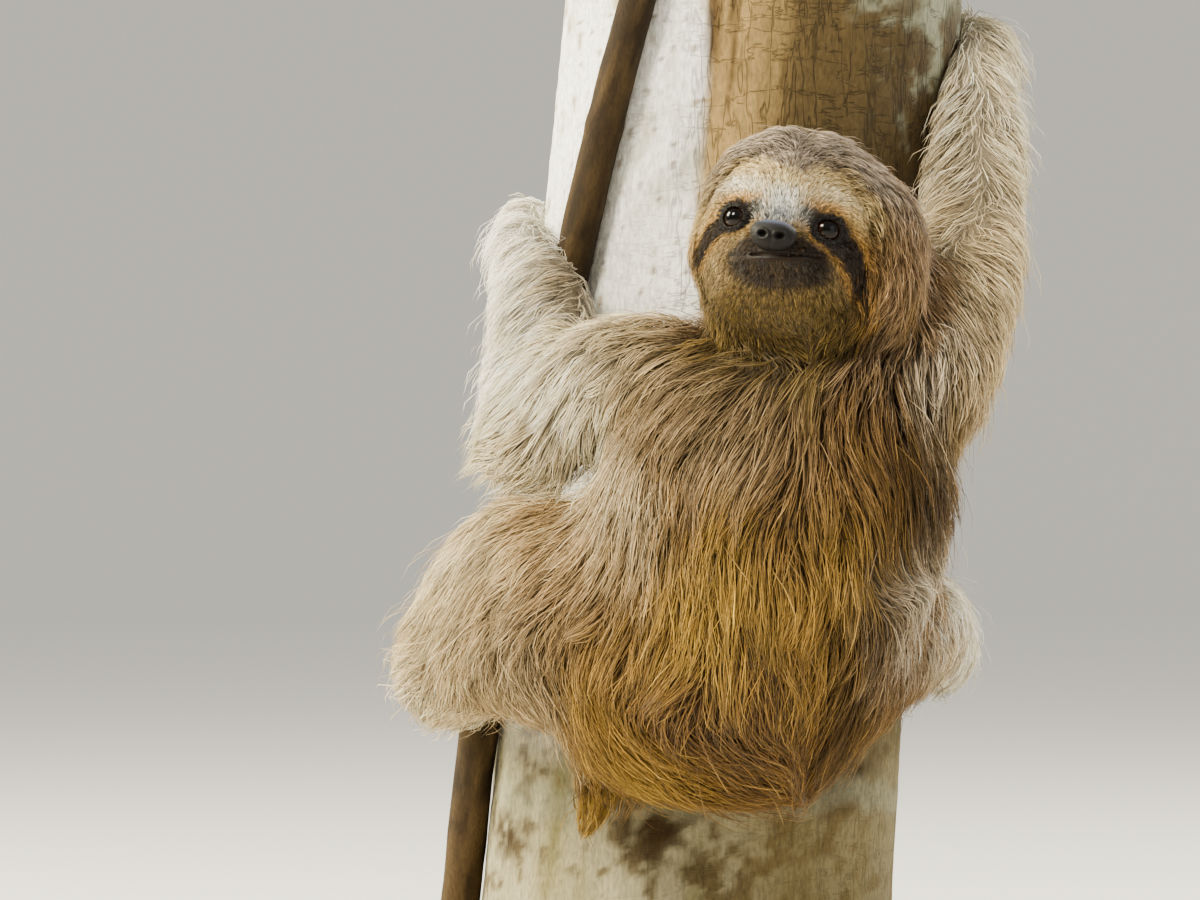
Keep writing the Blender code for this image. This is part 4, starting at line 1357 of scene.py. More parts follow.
@dataclass
class Markings:
    """The tone of skin and coat at any place."""

    body: Body

    def at(self, points: Array, spread: Array) -> Array:
        """Tones of the coat.

        The parts' own tones come first, and each patch mixes its own over them by
        strength exp(-(x / reach)^2 - (z / reach)^2). The head has its own markings.

        Args:
            points: places on the skin.
            spread: how far each place is moved before it is looked up, which breaks up the borders.

        Returns:
            Linear colours.
        """
        looked = points + spread
        tone = self.body.tone.at(looked)
        outside = self.body.slope(points, False)
        facing = smooth_step(0.25, -0.25, unit(outside)[:, 1])
        for patch in PATCHES:
            rows = [(looked[:, axis], at, reach) for axis, at, reach in zip((0, 2), patch.at, patch.reach)]
            tone = painted(tone, (patch.tone, patch.strength * hill(*rows) * facing))
        head = self.body.head
        own = self.on_head(head.inward(points + 0.35 * spread), head.inward(points))
        return painted(tone, (own, smooth_step(0.016, 0.002, head.height(points))))

    def on_head(self, place: Array, true_place: Array) -> Array:
        """Tones of the head in its own frame.

        A cream brow over each eye, a grey bridge, dark stripes with a rusty rim, a dark muzzle, an
        ochre chin, a brown crown that dips in the middle, and a rusty ruff down the left side.

        Args:
            place: where each tone is looked up, which breaks up the borders of fur.
            true_place: where each place is, which keeps the borders of bare skin sharp.

        Returns:
            Linear colours.
        """
        head = self.body.head
        across, deep, up = place.T
        side = np.abs(across)
        rag = rough_noise(place * np.array([1, 1, 0.4]), 0.004, 91, 2)
        crown = up - 0.0340 + 0.007 * hill((across, 0.001, 0.009)) + 6.0 * side**2 + 0.006 * rag
        ruff = smooth_step(0.036, 0.050, across) * smooth_step(0.044, 0.020, up)
        brow = hill((side, 0.022, 0.012), (up, 0.0150, 0.0055))
        bridge = smooth_step(-0.004, 0.000, up) * smooth_step(0.019, 0.009, up)
        muzzle = np.hypot((across - 0.0030 - 0.20 * (up + 0.019)) / 0.0228, (up + 0.0188) / 0.0122)
        stripe = head.stripe(place)
        nose, mouth = head.nose_gap(true_place), head.mouth_gap(true_place)
        tilt = head.mouth_tilt / head.mouth_half_width * true_place[:, 0]
        below = true_place[:, 2] - head.mouth_height - tilt < -0.0008
        # Painted highlight on the lower lip, below the mouth line and towards -X.
        lip_highlight = below * smooth_step(0.0026, 0.0016, mouth) * smooth_step(0.008, -0.008, across)
        right_cheek = smooth_step(0.019, 0.030, -across) * smooth_step(-0.040, -0.020, up)
        forehead = smooth_step(0.002, 0.010, up + 0.15 * side) * smooth_step(0.044, 0.032, across)
        return painted(
            np.tile(linear(FaceFur.CHEEK), (len(place), 1)),
            (FaceFur.CHIN, smooth_step(-0.022, -0.038, up)),
            (FaceFur.RIGHT_CHEEK, 0.90 * right_cheek),
            (FaceFur.LEFT_CHEEK, smooth_step(0.026, 0.036, across) * smooth_step(-0.034, -0.016, up)),
            (FaceFur.FOREHEAD, forehead),
            (FaceFur.BROW, brow * (1 - 0.72 * smooth_step(-0.005, 0.012, across))),
            (FaceFur.UNDER_BROW, 0.75 * hill((side, 0.0215, 0.010), (up, 0.0095, 0.0028))),
            (FaceFur.MIDDLE, 0.40 * hill((side, 0.0, 0.026), (up, 0.021, 0.009))),
            (FaceFur.FLECK, 0.55 * smooth_step(0.05, 0.5, rag) * smooth_step(0.016, 0.024, up)),
            (FaceFur.CROWN, smooth_step(-0.005, 0.004, crown)),
            (FaceFur.CROWN_EDGE, 0.55 * smooth_step(-0.001, 0.002, crown) * smooth_step(0.009, 0.002, crown)),
            (FaceFur.BACK, smooth_step(-0.012, 0.014, deep)),
            (FaceFur.RUFF, 0.85 * ruff),
            (FaceFur.JAW_SHADE, 0.95 * hill((across, 0.047, 0.0090), (up, -0.033, 0.015))),
            (FaceFur.TEMPLE, 0.80 * smooth_step(-0.022, -0.033, across) * smooth_step(0.002, 0.014, up)),
            (FaceFur.STRIPE_RIM, 0.6 * smooth_step(0.0050, 0.0010, stripe)),
            (FaceFur.STRIPE, smooth_step(0.0014, -0.0012, stripe)),
            (FaceFur.OVER_LEFT_EYE, 0.9 * hill((across, 0.0205, 0.0095), (up, 0.0048, 0.0042))),
            (FaceFur.BRIDGE, 0.95 * bridge * hill((across, 0.0, 0.0092))),
            (FaceFur.OVER_NOSE, 0.85 * hill((across, 0.0, 0.0085), (up, 0.0010, 0.0034))),
            (FaceFur.MUZZLE, smooth_step(1.25, 0.85, muzzle)),
            (FaceFur.NOSE_RIM, smooth_step(0.0060, 0.0010, nose) * smooth_step(0.000, -0.006, up)),
            (FaceFur.MOUTH, 0.9 * smooth_step(0.0050, 0.0018, mouth)),
            (FaceFur.LIP_HIGHLIGHT, 0.45 * lip_highlight),
            (FaceFur.LID, smooth_step(0.0034, 0.0018, head.eye_gap(true_place))),
        )


# ---------------------------------------------------------------- lie of the hair


# One stroke of the comb: where it is, across and up, and which way the hair runs there, across and up.
Stroke = tuple[float, float, float, float]

BACK_STROKES = (
    (-0.0065, 0.404, -1.00, -0.05), (0.030, 0.396, -0.80, -0.40), (-0.036, 0.396, -0.90, -0.35),
    (-0.056, 0.380, -0.55, -0.85), (-0.066, 0.358, -0.25, -0.97), (-0.066, 0.335, 0.10, -1.00),
    (-0.046, 0.312, 0.22, -0.97), (-0.086, 0.388, -0.60, -0.78), (-0.100, 0.372, -0.50, -0.85),
    (-0.106, 0.352, -0.95, -0.25), (-0.085, 0.356, -0.75, -0.50), (-0.075, 0.430, -0.80, -0.50),
    (-0.105, 0.440, -0.35, -0.92), (-0.103, 0.458, -0.60, -0.70), (-0.0065, 0.372, -0.65, -0.75),
    (0.013, 0.342, -0.40, -0.90), (-0.0065, 0.302, -0.10, -1.00), (0.033, 0.362, -0.35, -0.90),
    (0.068, 0.367, -0.55, -0.80), (0.053, 0.337, -0.10, -1.00), (0.036, 0.322, -0.60, -0.80),
    (0.023, 0.307, -0.70, -0.70), (0.068, 0.322, 0.50, -0.85), (0.083, 0.307, 0.10, -1.00),
    (0.064, 0.292, -0.10, -1.00), (0.031, 0.290, 0.30, -0.95), (0.003, 0.273, -0.05, -1.00),
    (-0.031, 0.292, 0.15, -1.00), (-0.046, 0.263, -0.40, -0.90), (-0.026, 0.223, -0.50, -0.87),
    (0.013, 0.238, 0.05, -1.00), (0.063, 0.253, -0.35, -0.93), (0.083, 0.223, -0.55, -0.83),
    (0.073, 0.1885, -0.50, -0.86), (-0.036, 0.1835, 0.85, -0.55), (-0.0065, 0.172, 0.80, -0.60),
    (0.028, 0.172, 0.80, -0.55), (0.058, 0.177, -0.30, -0.95), (0.102, 0.347, -0.10, -1.00),
    (0.095, 0.302, -0.30, -0.95), (-0.076, 0.302, -0.75, -0.65), (-0.115, 0.283, -0.65, -0.75),
    (-0.081, 0.263, -0.75, -0.65), (-0.130, 0.243, -0.60, -0.80), (-0.153, 0.232, -1.00, -0.12),
    (-0.135, 0.213, -0.20, -1.00), (-0.096, 0.218, 0.35, -0.92), (-0.076, 0.203, 0.75, -0.65),
    (-0.056, 0.238, -0.35, -0.92), (0.154, 0.540, 0.50, -0.85), (0.133, 0.520, -0.50, -0.85),
    (0.153, 0.487, 0.85, -0.50), (0.130, 0.480, -0.65, -0.75), (0.150, 0.446, 0.80, -0.55),
    (0.118, 0.465, -0.80, -0.45), (0.140, 0.405, 0.55, -0.82), (0.115, 0.388, -0.10, -1.00),
    (0.118, 0.418, 0.40, -0.90), (0.097, 0.267, 0.95, 0.05), (0.118, 0.268, 0.80, -0.55),
    (0.134, 0.252, 0.30, -0.95), (0.106, 0.245, 0.45, -0.90), (0.105, 0.214, 0.00, -1.00),
    (-0.060, 0.150, -0.25, -0.97),
)

FACE_STROKES = (
    (0.000, 0.004, 0.00, 1.00), (0.000, 0.020, 0.00, 1.00), (-0.018, 0.018, -0.50, 0.85),
    (0.018, 0.018, 0.50, 0.85), (-0.035, 0.010, -0.95, 0.10), (0.035, 0.010, 0.95, 0.10),
    (-0.012, 0.038, -0.90, 0.35), (0.014, 0.038, 0.90, 0.35), (-0.030, 0.036, -0.90, -0.35),
    (0.032, 0.036, 0.90, -0.35), (-0.014, 0.054, -0.95, 0.05), (0.014, 0.054, 0.95, 0.05),
    (-0.044, 0.014, -0.35, -0.94), (0.048, 0.014, 0.40, -0.92), (-0.036, -0.018, -0.30, -0.95),
    (0.036, -0.018, 0.30, -0.95), (-0.020, -0.012, -0.80, -0.55), (0.020, -0.012, 0.80, -0.55),
    (0.000, -0.032, 0.00, -1.00), (-0.018, -0.030, -0.60, -0.80), (0.018, -0.030, 0.60, -0.80),
    (-0.026, -0.044, -0.40, -0.90), (0.026, -0.044, 0.35, -0.92), (0.000, -0.048, 0.05, -1.00),
    (-0.020, -0.058, 0.40, -0.75), (0.010, -0.062, 0.85, -0.35), (0.058, 0.012, 0.05, -1.00),
    (0.066, -0.018, -0.25, -0.95), (0.056, -0.045, -0.75, -0.65), (0.036, -0.060, -0.85, -0.40),
)


@dataclass
class Lie:
    """The way the hair runs at any place on the skin."""

    body: Body
    spread: float = 0.013
    face_spread: float = 0.0085

    def combed(self, places: Array, strokes: Sequence[Stroke], spread: float) -> Array:
        """Strokes blended by exp(-gap^2 / 2 spread^2), as directions across and up, with none in depth."""
        table = np.array(strokes)
        gaps = ((places[:, None, [0, 2]] - table[None, :, :2]) ** 2).sum(axis=2)
        flow = np.exp(-gaps / (2 * spread**2)) @ unit(table[:, 2:])
        return np.stack([flow[:, 0], np.zeros(len(flow)), flow[:, 1]], axis=1)

    def at(self, points: Array, names: Array, outside: Array) -> Array:
        """Directions along the skin.

        Args:
            points: places near the skin.
            names: the part each belongs to.
            outside: the direction away from the skin at each.

        Returns:
            Unit directions square to outside.
        """
        own_names, order = np.unique(names, return_inverse=True)
        way = 0.08 * unit(np.array([PARTS[name].way for name in own_names]))[order]
        head = self.body.head
        place = head.inward(points)
        on_head = smooth_step(0.018, 0.004, head.height(points))
        on_back = smooth_step(0.35, -0.35, outside[:, 1]) * (1 - on_head)
        on_face = on_head * smooth_step(0.030, 0.000, place[:, 1])
        total = way + on_back[:, None] * self.combed(points, BACK_STROKES, self.spread)
        total = total + on_face[:, None] * (self.combed(place, FACE_STROKES, self.face_spread) @ head.turn.T)
        return unit(total - dot(total, outside) * outside)


# ---------------------------------------------------------------- skin


@dataclass
class Skin:
    """The one skin of all the flesh. Each row of finer_within halves the faces within two distances."""

    body: Body
    markings: Markings
    finer_within: tuple[tuple[float, float], ...] = ((1.0, 1.0), (0.0065, 0.0060), (0.0035, 0.0042))

    def build(self) -> Sheet:
        """Surface of the body's distances, made finer on the face and round the eyes and mouth.

        Returns:
            The skin's sheet, for the hair to grow on.
        """
        made = Sheet(*self.body.surface(self.body.rough.values)).turned_out()
        head = self.body.head
        for eyes, mouth in self.finer_within:
            made = self.finer(made, eyes, mouth)
            near = np.abs(head.inward(made.points)).max(axis=1) < 0.085
            for _ in range(3):
                made.points[near] = self.body.settle(made.points[near], 0.0, True)
                near &= head.inward(made.points)[:, 1] < 0.020
                self.relax(made, near)
        made.points[near] = self.body.settle(made.points[near], 0.0, True, 4)
        drift = np.random.default_rng(SEED).normal(0, 0.0015, made.points.shape)
        place = head.inward(made.points)
        # Painted shade: the skin under the hair is darkened to 0.34 of its markings, and to 0.84 on the
        # short-haired face.
        shade = 0.34 + 0.50 * head.face_share(place)
        lids = smooth_step(0.0022, 0.0012, head.eye_gap(place))
        lips = smooth_step(0.0032, 0.0018, head.mouth_gap(place))
        made.values["coat"] = self.markings.at(made.points, drift) * shade[:, None]
        made.values["bare"] = np.clip(lids + lips, 0, 1)
        made.piece("sloth_skin", SkinFinish().make(), "back_coat", list(PARTS))
        return made

    def relax(self, sheet: Sheet, moved: Array) -> None:
        """Move points half of the way along the skin to the middle of their neighbours."""
        rows = (sheet.quads, sheet.triangles)
        ends = [np.stack([row, np.roll(row, -1, axis=1)], axis=-1).reshape(-1, 2) for row in rows]
        first, second = np.concatenate(ends).T
        size = len(sheet.points)
        count = np.bincount(first, minlength=size)[:, None]
        total = np.stack([np.bincount(first, sheet.points[second, axis], size) for axis in range(3)], axis=1)
        shift = (total / np.maximum(count, 1) - sheet.points)[moved]
        outside = unit(self.body.slope(sheet.points[moved], True))
        sheet.points[moved] += 0.5 * (shift - dot(shift, outside) * outside)

    def finer(self, sheet: Sheet, eyes: float, mouth: float) -> Sheet:
        """Halve the faces on the front of the head that are within a distance of an eye or of the mouth."""
        mesh = bpy.data.meshes.new("finer")
        mesh.from_pydata(sheet.points, [], sheet.quads.tolist() + sheet.triangles.tolist())
        work = bmesh.new()
        work.from_mesh(mesh)
        middles = [sheet.points[rows].mean(axis=1) for rows in (sheet.quads, sheet.triangles) if len(rows)]
        head = self.body.head
        place = head.inward(np.concatenate(middles))
        wanted = (place[:, 1] < -0.008) & (np.abs(place).max(axis=1) < 0.060)
        wanted &= (head.eye_gap(place) < eyes) | (head.mouth_gap(place) < mouth)
        work.faces.ensure_lookup_table()
        edges = {edge for index in np.flatnonzero(wanted) for edge in work.faces[index].edges}
        bmesh.ops.subdivide_edges(work, edges=list(edges), cuts=1, use_grid_fill=True)
        bmesh.ops.triangulate(work, faces=[face for face in work.faces if len(face.verts) > 4])
        work.to_mesh(mesh)
        work.free()
        points = np.empty(len(mesh.vertices) * 3)
        mesh.vertices.foreach_get("co", points)
        corners = np.empty(len(mesh.loops), int)
        mesh.loops.foreach_get("vertex_index", corners)
        totals, starts = np.empty((2, len(mesh.polygons)), int)
        mesh.polygons.foreach_get("loop_total", totals)
        mesh.polygons.foreach_get("loop_start", starts)
        bpy.data.meshes.remove(mesh)
        fours, threes = (corners[starts[totals == count][:, None] + np.arange(count)] for count in (4, 3))
        return Sheet(points.reshape(-1, 3), fours, threes)


# ---------------------------------------------------------------- coat


class Cut(Enum):
    """How many rings of points one lock has, counting its tip."""

    TUFT = 3
    SHORT = 4
    LONG = 5


@dataclass(frozen=True)
class Growth:
    """How the hair of one coat piece grows.

    It holds the part of the flesh, the record's material slot, how many locks grow, their mean length,
    their width at the middle, their rings, and the size of a clump.
    """

    part: str
    slot: str
    count: int
    length: float
    width: float
    cut: Cut = Cut.SHORT
    clump: float = 0.010


GROWTHS = {
    "coat_face": Growth("head", "face_coat", 17000, 0.0048, 0.00030, Cut.TUFT, 0.003),
    "coat_chin": Growth("head", "face_coat", 11500, 0.0056, 0.00031, Cut.TUFT, 0.004),
    "coat_crown": Growth("head", "face_coat", 9600, 0.014, 0.00042, Cut.SHORT, 0.006),
    "coat_nape": Growth("neck", "back_coat", 2000, 0.034, 0.00050, Cut.LONG),
    "coat_back": Growth("torso", "back_coat", 20000, 0.045, 0.00046, Cut.LONG, 0.012),
    "coat_tail": Growth("tail", "back_coat", 900, 0.022, 0.00046),
    "coat_upper_arm_left": Growth("upper_arm_left", "limb_coat", 4200, 0.030, 0.00041),
    "coat_upper_arm_right": Growth("upper_arm_right", "limb_coat", 3900, 0.029, 0.00041),
    "coat_forearm_left": Growth("forearm_left", "limb_coat", 3600, 0.025, 0.00042),
    "coat_forearm_right": Growth("forearm_right", "limb_coat", 3600, 0.026, 0.00042),
    "coat_hand_left": Growth("hand_left", "limb_coat", 900, 0.011, 0.00055, clump=0.006),
    "coat_hand_right": Growth("hand_right", "limb_coat", 900, 0.011, 0.00055, clump=0.006),
    "coat_thigh_left": Growth("thigh_left", "limb_coat", 9200, 0.036, 0.00043),
    "coat_thigh_right": Growth("thigh_right", "shank_coat", 1900, 0.027, 0.00046),
    "coat_shank_left": Growth("shank_left", "shank_coat", 1700, 0.023, 0.00046),
    "coat_shank_right": Growth("shank_right", "shank_coat", 3000, 0.027, 0.00041),
    "coat_foot_left": Growth("foot_left", "shank_coat", 900, 0.011, 0.00055, clump=0.006),
    "coat_foot_right": Growth("foot_right", "shank_coat", 900, 0.011, 0.00055, clump=0.006),
}


@dataclass
class Coat:
    """The coat: solid locks that grow from the skin, lie along it and gather into clumps."""

    body: Body
    lie: Lie
    markings: Markings
    skin: Sheet
    most_triangles: int = 190_000
    patch: float = 0.003
    chin_top: float = -0.016
    loose_at: tuple[float, float] = (-0.074, 0.340)
    loose_reach: tuple[float, float] = (0.030, 0.022)

    def __post_init__(self) -> None:
        """Work out the skin's triangles, their areas and the part that each belongs to."""
        quads, triangles = self.skin.quads, self.skin.triangles
        corners = np.concatenate([quads[:, [0, 1, 2]], quads[:, [0, 2, 3]], triangles])
        self.corners = self.skin.points[corners]
        edges = self.corners[:, 1:] - self.corners[:, :1]
        self.areas = np.linalg.norm(np.cross(edges[:, 0], edges[:, 1]), axis=1) / 2
        middles = self.corners.mean(axis=1)
        head = self.body.head
        self.names = self.body.part_names(middles)
        self.names[head.height(middles) < 0.0015] = "head"
        self.place = head.inward(middles)
        self.face = head.face_share(self.place)
        bare = (head.eye_gap(self.place) < 0.0012) | (head.nose_gap(self.place) < 0.0006)
        self.areas[bare | (head.mouth_gap(self.place) < 0.0022)] = 0.0
        self.areas *= smooth_step(0.0015, 0.006, self.body.trunk.stand_off(middles))

    def wanted(self, coat: str, growth: Growth) -> Array:
        """The area of each of the skin's triangles that a coat piece grows on."""
        area = self.areas * (self.names == growth.part)
        if coat == "coat_crown":
            return area * np.clip(1 - self.face, 0, 1)
        if coat == "coat_face":
            return area * self.face * (self.place[:, 2] > self.chin_top)
        if coat == "coat_chin":
            return area * self.face * (self.place[:, 2] <= self.chin_top)
        return area

    def roots(self, wanted: Array, count: int, rng: np.random.Generator) -> Array:
        """Even random places: equal steps along the summed area, each at a random spot of its triangle."""
        shares = np.cumsum(wanted)
        marks = (np.arange(count) + rng.random(count)) / count * shares[-1]
        chosen = np.minimum(np.searchsorted(shares, marks), len(shares) - 1)
        spot = rng.random((2, count))
        spot = np.where(spot.sum(axis=0) > 1, 1 - spot, spot)[..., None]
        base, *others = self.corners[chosen].transpose(1, 0, 2)
        return base + spot[0] * (others[0] - base) + spot[1] * (others[1] - base)

    def trimmed(self, roots: Array, crown: bool) -> tuple[Array, Array]:
        """On the head, the share of its length and the reach over the skin that each lock has.

        Both are short round the eyes, the nose and the mouth, and long down the ruff.
        """
        head = self.body.head
        place = head.inward(roots)
        rim = 1 - head.face_share(place)
        features = np.minimum(head.mouth_gap(place), head.nose_gap(place))
        short = 0.35 + 0.65 * smooth_step(0.001, 0.009, head.eye_gap(place))
        short = short * (0.35 + 0.65 * smooth_step(0.001, 0.008, features))
        ruff = smooth_step(0.030, 0.055, place[:, 0]) * rim
        reach = short * np.where(rim > 0.5, 0.0055 + 0.0055 * ruff, 0.0020)
        return short * (1 + 0.9 * ruff * crown), reach

    def grow(self, coat: str, growth: Growth, rng: np.random.Generator) -> tuple[Array, Array, Array, Array]:
        """Grow every lock of one coat piece.

        A lock steps along the lie of the hair, turned by its own bend and wave. At the share t of its
        length it stands at reach sin(t pi / 2)^0.9 over the skin, where reach is a share of the coat's
        depth. Off the head it also leaves the skin where that curves away from it, more so towards its
        tip, and it hangs down most round one loose place on the flank. A ring that would enter the
        trunk stays on its bark.

        Args:
            coat: the coat piece.
            growth: how its hair grows.
            rng: the random numbers.

        Returns:
            Ring centres, outward directions, and for each lock its width and brightness, which is a random
            tone times painted shade on the locks that lie low by the skin.
        """
        count, rings = growth.count, growth.cut.value
        fine = growth.part == "head"
        roots = self.roots(self.wanted(coat, growth), count, rng)
        names = np.full(count, "head") if fine else self.body.part_names(roots)
        outside = unit(self.body.slope(roots, fine))
        length = growth.length * rng.uniform(0.62, 1.25, count)
        lift = rng.beta(1.5, 1.4, count)
        crown = coat == "coat_crown"
        longer, reach = self.trimmed(roots, crown) if fine else (1.0, self.body.depth.at(roots))
        length, reach = length * longer, reach * (0.25 + 0.85 * lift)
        stray = rng.random(count) < (0.02 if fine else 0.035)
        reach = np.where(stray, reach * 1.35 + (0.001 if fine else 0.004), reach)
        shares = np.linspace(0, 1, rings) ** 0.92
        messy = 1.0 if fine else 0.60 + 0.50 * smooth_step(0.320, 0.210, roots[:, 2])
        bend = rng.normal(0, 0.19, count) * (1 + 1.5 * stray) * messy
        wave = rng.uniform(0, 2 * math.pi, count)
        rows = zip((roots[:, 0], roots[:, 2]), self.loose_at, self.loose_reach)
        hang = 0.0 if fine else hill(*rows)
        length = length * (1 + 0.80 * hang)
        place = roots
        centres, ups = [roots - 0.0006 * outside], [outside]
        for first, last in zip(shares[:-1], shares[1:]):
            way = self.lie.at(place, names, outside)
            turn = bend + 0.24 * messy * np.sin(wave + 5.5 * last)
            way = unit(way + turn[:, None] * np.cross(outside, way))
            step = ((last - first) * length)[:, None]
            height = reach * math.sin(last * math.pi / 2) ** 0.9
            laid = self.body.settle(place + way * step, height, fine, 1)
            if not fine:
                free = place + unit(way + (0.12 + 1.6 * hang)[:, None] * DOWN) * step
                over = smooth_step(0.0, 0.006 - 0.004 * hang, self.body.height(free, fine) - height)
                loose = np.clip(0.38 + 0.6 * hang, 0, 1) * np.maximum(last, hang) * over
                laid = laid + loose[:, None] * (free - laid)
            inside = np.clip(0.0008 - self.body.trunk.stand_off(laid), 0, None)
            place = laid + inside[:, None] * self.body.trunk.outward(laid)
            outside = unit(self.body.slope(place, fine))
            centres.append(place)
            ups.append(outside)
        centres, ups = np.stack(centres, axis=1), np.stack(ups, axis=1)
        steps = np.linalg.norm(np.diff(centres, axis=1), axis=2)
        even = (steps < 1.5 * np.diff(shares) * length[:, None] + 0.003).all(axis=1)
        # A random tone, times painted shade that darkens a lock with little lift lying low by the skin.
        tone_and_layer_shade = np.exp(rng.normal(0, 0.42 if fine else 0.34, count)) * (0.52 + 0.74 * lift)
        width = growth.width * rng.uniform(0.75, 1.25, count) * (1.5 - 0.85 * lift)
        centres = self.clumped(centres[even], growth.clump, stray[even], rng)
        return centres, ups[even], width[even], tone_and_layer_shade[even]

    def clumped(self, centres: Array, clump: float, stray: Array, rng: np.random.Generator) -> Array:
        """Lean every lock towards the leading lock of a small clump, and then of a large one.

        A lock leans by strength t^1.4 at the share t of its length, and a stray one hardly leans.
        """
        shares = np.linspace(0, 1, centres.shape[1]) ** 1.4
        for size, least, most in ((0.45, 0.35, 0.85), (1.25, 0.10, 0.75)):
            roots = centres[:, 0]
            cell = np.floor(roots / (size * clump) + rng.random(3)).astype(int)
            _, leaders = np.unique(cell, axis=0, return_index=True)
            best = np.zeros(len(roots), int)
            for start in range(0, len(roots), 2048):
                rows = slice(start, start + 2048)
                squares = (roots[rows] ** 2).sum(axis=1)[:, None] + (roots[leaders] ** 2).sum(axis=1)
                best[rows] = leaders[(squares - 2 * roots[rows] @ roots[leaders].T).argmin(axis=1)]
            strength = rng.uniform(least, most, len(roots))[best] * np.where(stray, 0.1, 1.0)
            centres = centres + (strength[:, None] * shares)[..., None] * (centres[best] - centres)
        return centres

    def locks(self, centres: Array, ups: Array, width: Array) -> Sheet:
        """Three-sided locks: each ring is a flat triangle, and the last narrows to one point.

        The corners of a ring are centre + w sideways - h up, centre - w sideways - h up and
        centre + 2 h up, with w half the width there and h a third of w.
        """
        count, rings = centres.shape[:2]
        tangents = unit(np.gradient(centres, axis=1))
        sideways = unit(np.cross(tangents, ups))
        square = np.cross(sideways, tangents)
        body = rings - 1
        shares = np.linspace(0, 1, rings)[:body]
        taper = 0.72 + 0.38 * np.sin(math.pi * shares**0.8) - 0.30 * shares**2
        half = (width[:, None] * taper / 2)[..., None]
        corners = [
            centres[:, :body] + half * (across * sideways[:, :body] + rise * square[:, :body])
            for across, rise in ((1, -0.33), (-1, -0.33), (0, 0.66))
        ]
        ring = np.stack(corners, axis=2).reshape(count, body * 3, 3)
        points = np.concatenate([ring, centres[:, -1:]], axis=1).reshape(-1, 3)
        turns = ((0, 1), (1, 2), (2, 0))
        starts = range(0, 3 * body - 3, 3)
        sides = [(near + a, near + b, near + 3 + b, near + 3 + a) for near in starts for a, b in turns]
        last, tip = 3 * (body - 1), 3 * body
        ends = [(last + a, last + b, tip) for a, b in turns] + [(0, 2, 1)]
        start = ((tip + 1) * np.arange(count))[:, None, None]
        quads, triangles = np.array(sides) + start, np.array(ends) + start
        return Sheet(points, quads.reshape(-1, 4), triangles.reshape(-1, 3))

    def chart(self, roots: Array, rings: int) -> Array:
        """Bake places: an equal-area unwrap of the roots round their own long axis.

        Across is the turn round the axis and up is (sin(latitude) + 1) / 2 in their own box. Each
        lock is a patch there, one corner or ring after another, from root to tip.
        """
        low, high = roots.min(axis=0), roots.max(axis=0)
        offset = (roots - (low + high) / 2) / np.maximum((high - low) / 2, 1e-6)
        axis = int(np.argmax(high - low))
        first, second = [other for other in range(3) if other != axis]
        turn = np.arctan2(offset[:, second], offset[:, first]) / (2 * math.pi) + 0.5
        rise = (offset[:, axis] / np.maximum(np.linalg.norm(offset, axis=1), 1e-6) + 1) / 2
        body = rings - 1
        own = [(across, ring / body) for ring in range(body) for across in (0.0, 1.0, 0.5)]
        own = np.array(own + [(0.5, 1.0)]) * self.patch
        base = np.stack([turn, rise], axis=1) * (1 - self.patch)
        return (base[:, None] + own[None]).reshape(-1, 2)

    def tones(self, roots: Array, tone_and_layer_shade: Array, rings: int, rng: np.random.Generator, short: bool) -> Array:
        """Colours along each lock: dark at the root, partly the hair's own darker base and partly painted
        shade down among the locks, full at the middle, and paler at the tip, partly its own paler end and
        partly a painted highlight.

        Streaks of ochre run down the coat. A pale tip is straw over the warm tones and cream over the
        others, and it is left out where the tone is dark.
        """
        tone = self.markings.at(roots, rng.normal(0, 1, roots.shape) * (0.0013 if short else 0.0050))
        tone = tone * (tone.mean(axis=1, keepdims=True) / 0.6) ** 0.10
        streak = smooth_step(0.05, 0.55, rough_noise(roots * np.array([1, 1, 0.45]), 0.008, 83, 2))[:, None]
        warm = linear(Fur.OCHRE) * (0.4 + 0.8 * tone.mean(axis=1, keepdims=True))
        tone = tone + (0.15 if short else 0.36) * streak * (warm - tone)
        tone = tone * (tone_and_layer_shade * (1 + 0.30 * rough_noise(roots, 0.018, 89, 2)))[:, None]
        # Pale tips: partly the hair's own paler ends and partly painted highlight on the strands.
        pale = np.clip(rng.normal(-0.04, 0.44, len(roots)), 0, 0.9) * np.clip(tone_and_layer_shade, 0.3, 1.2)
        pale = (pale * smooth_step(0.01, 0.11, tone.mean(axis=1)))[:, None]
        rich = smooth_step(0.60, 0.90, 1 - tone[:, 2] / np.maximum(tone[:, 0], 1e-4))
        straw = painted(Fur.CREAM, (Fur.STRAW, rich))
        tip = tone * (1.14 + 0.35 * pale) + straw * 0.50 * pale
        # Root darkening towards umber, less on pale tones: partly the hair's own darker base and partly
        # painted shade among the locks.
        light = smooth_step(0.42, 0.75, tone.mean(axis=1))[:, None]
        own, dark = (0.55, 0.12) if short else (0.20 + 0.30 * light, 0.42 - 0.22 * light)
        deep = own * tone + dark * linear(Fur.UMBER)
        shares = np.linspace(0, 1, rings)
        rise = smooth_step(0.0, 0.55, shares)[None, :, None]
        end = smooth_step(0.40, 1.0, shares)[None, :, None]
        base = deep[:, None] * (1 - rise) + tone[:, None] * rise
        rows = base * (1 - end) + tip[:, None] * end
        body = np.repeat(rows[:, : rings - 1], 3, axis=1)
        return np.clip(np.concatenate([body, rows[:, -1:]], axis=1), 0.002, 0.95).reshape(-1, 3)

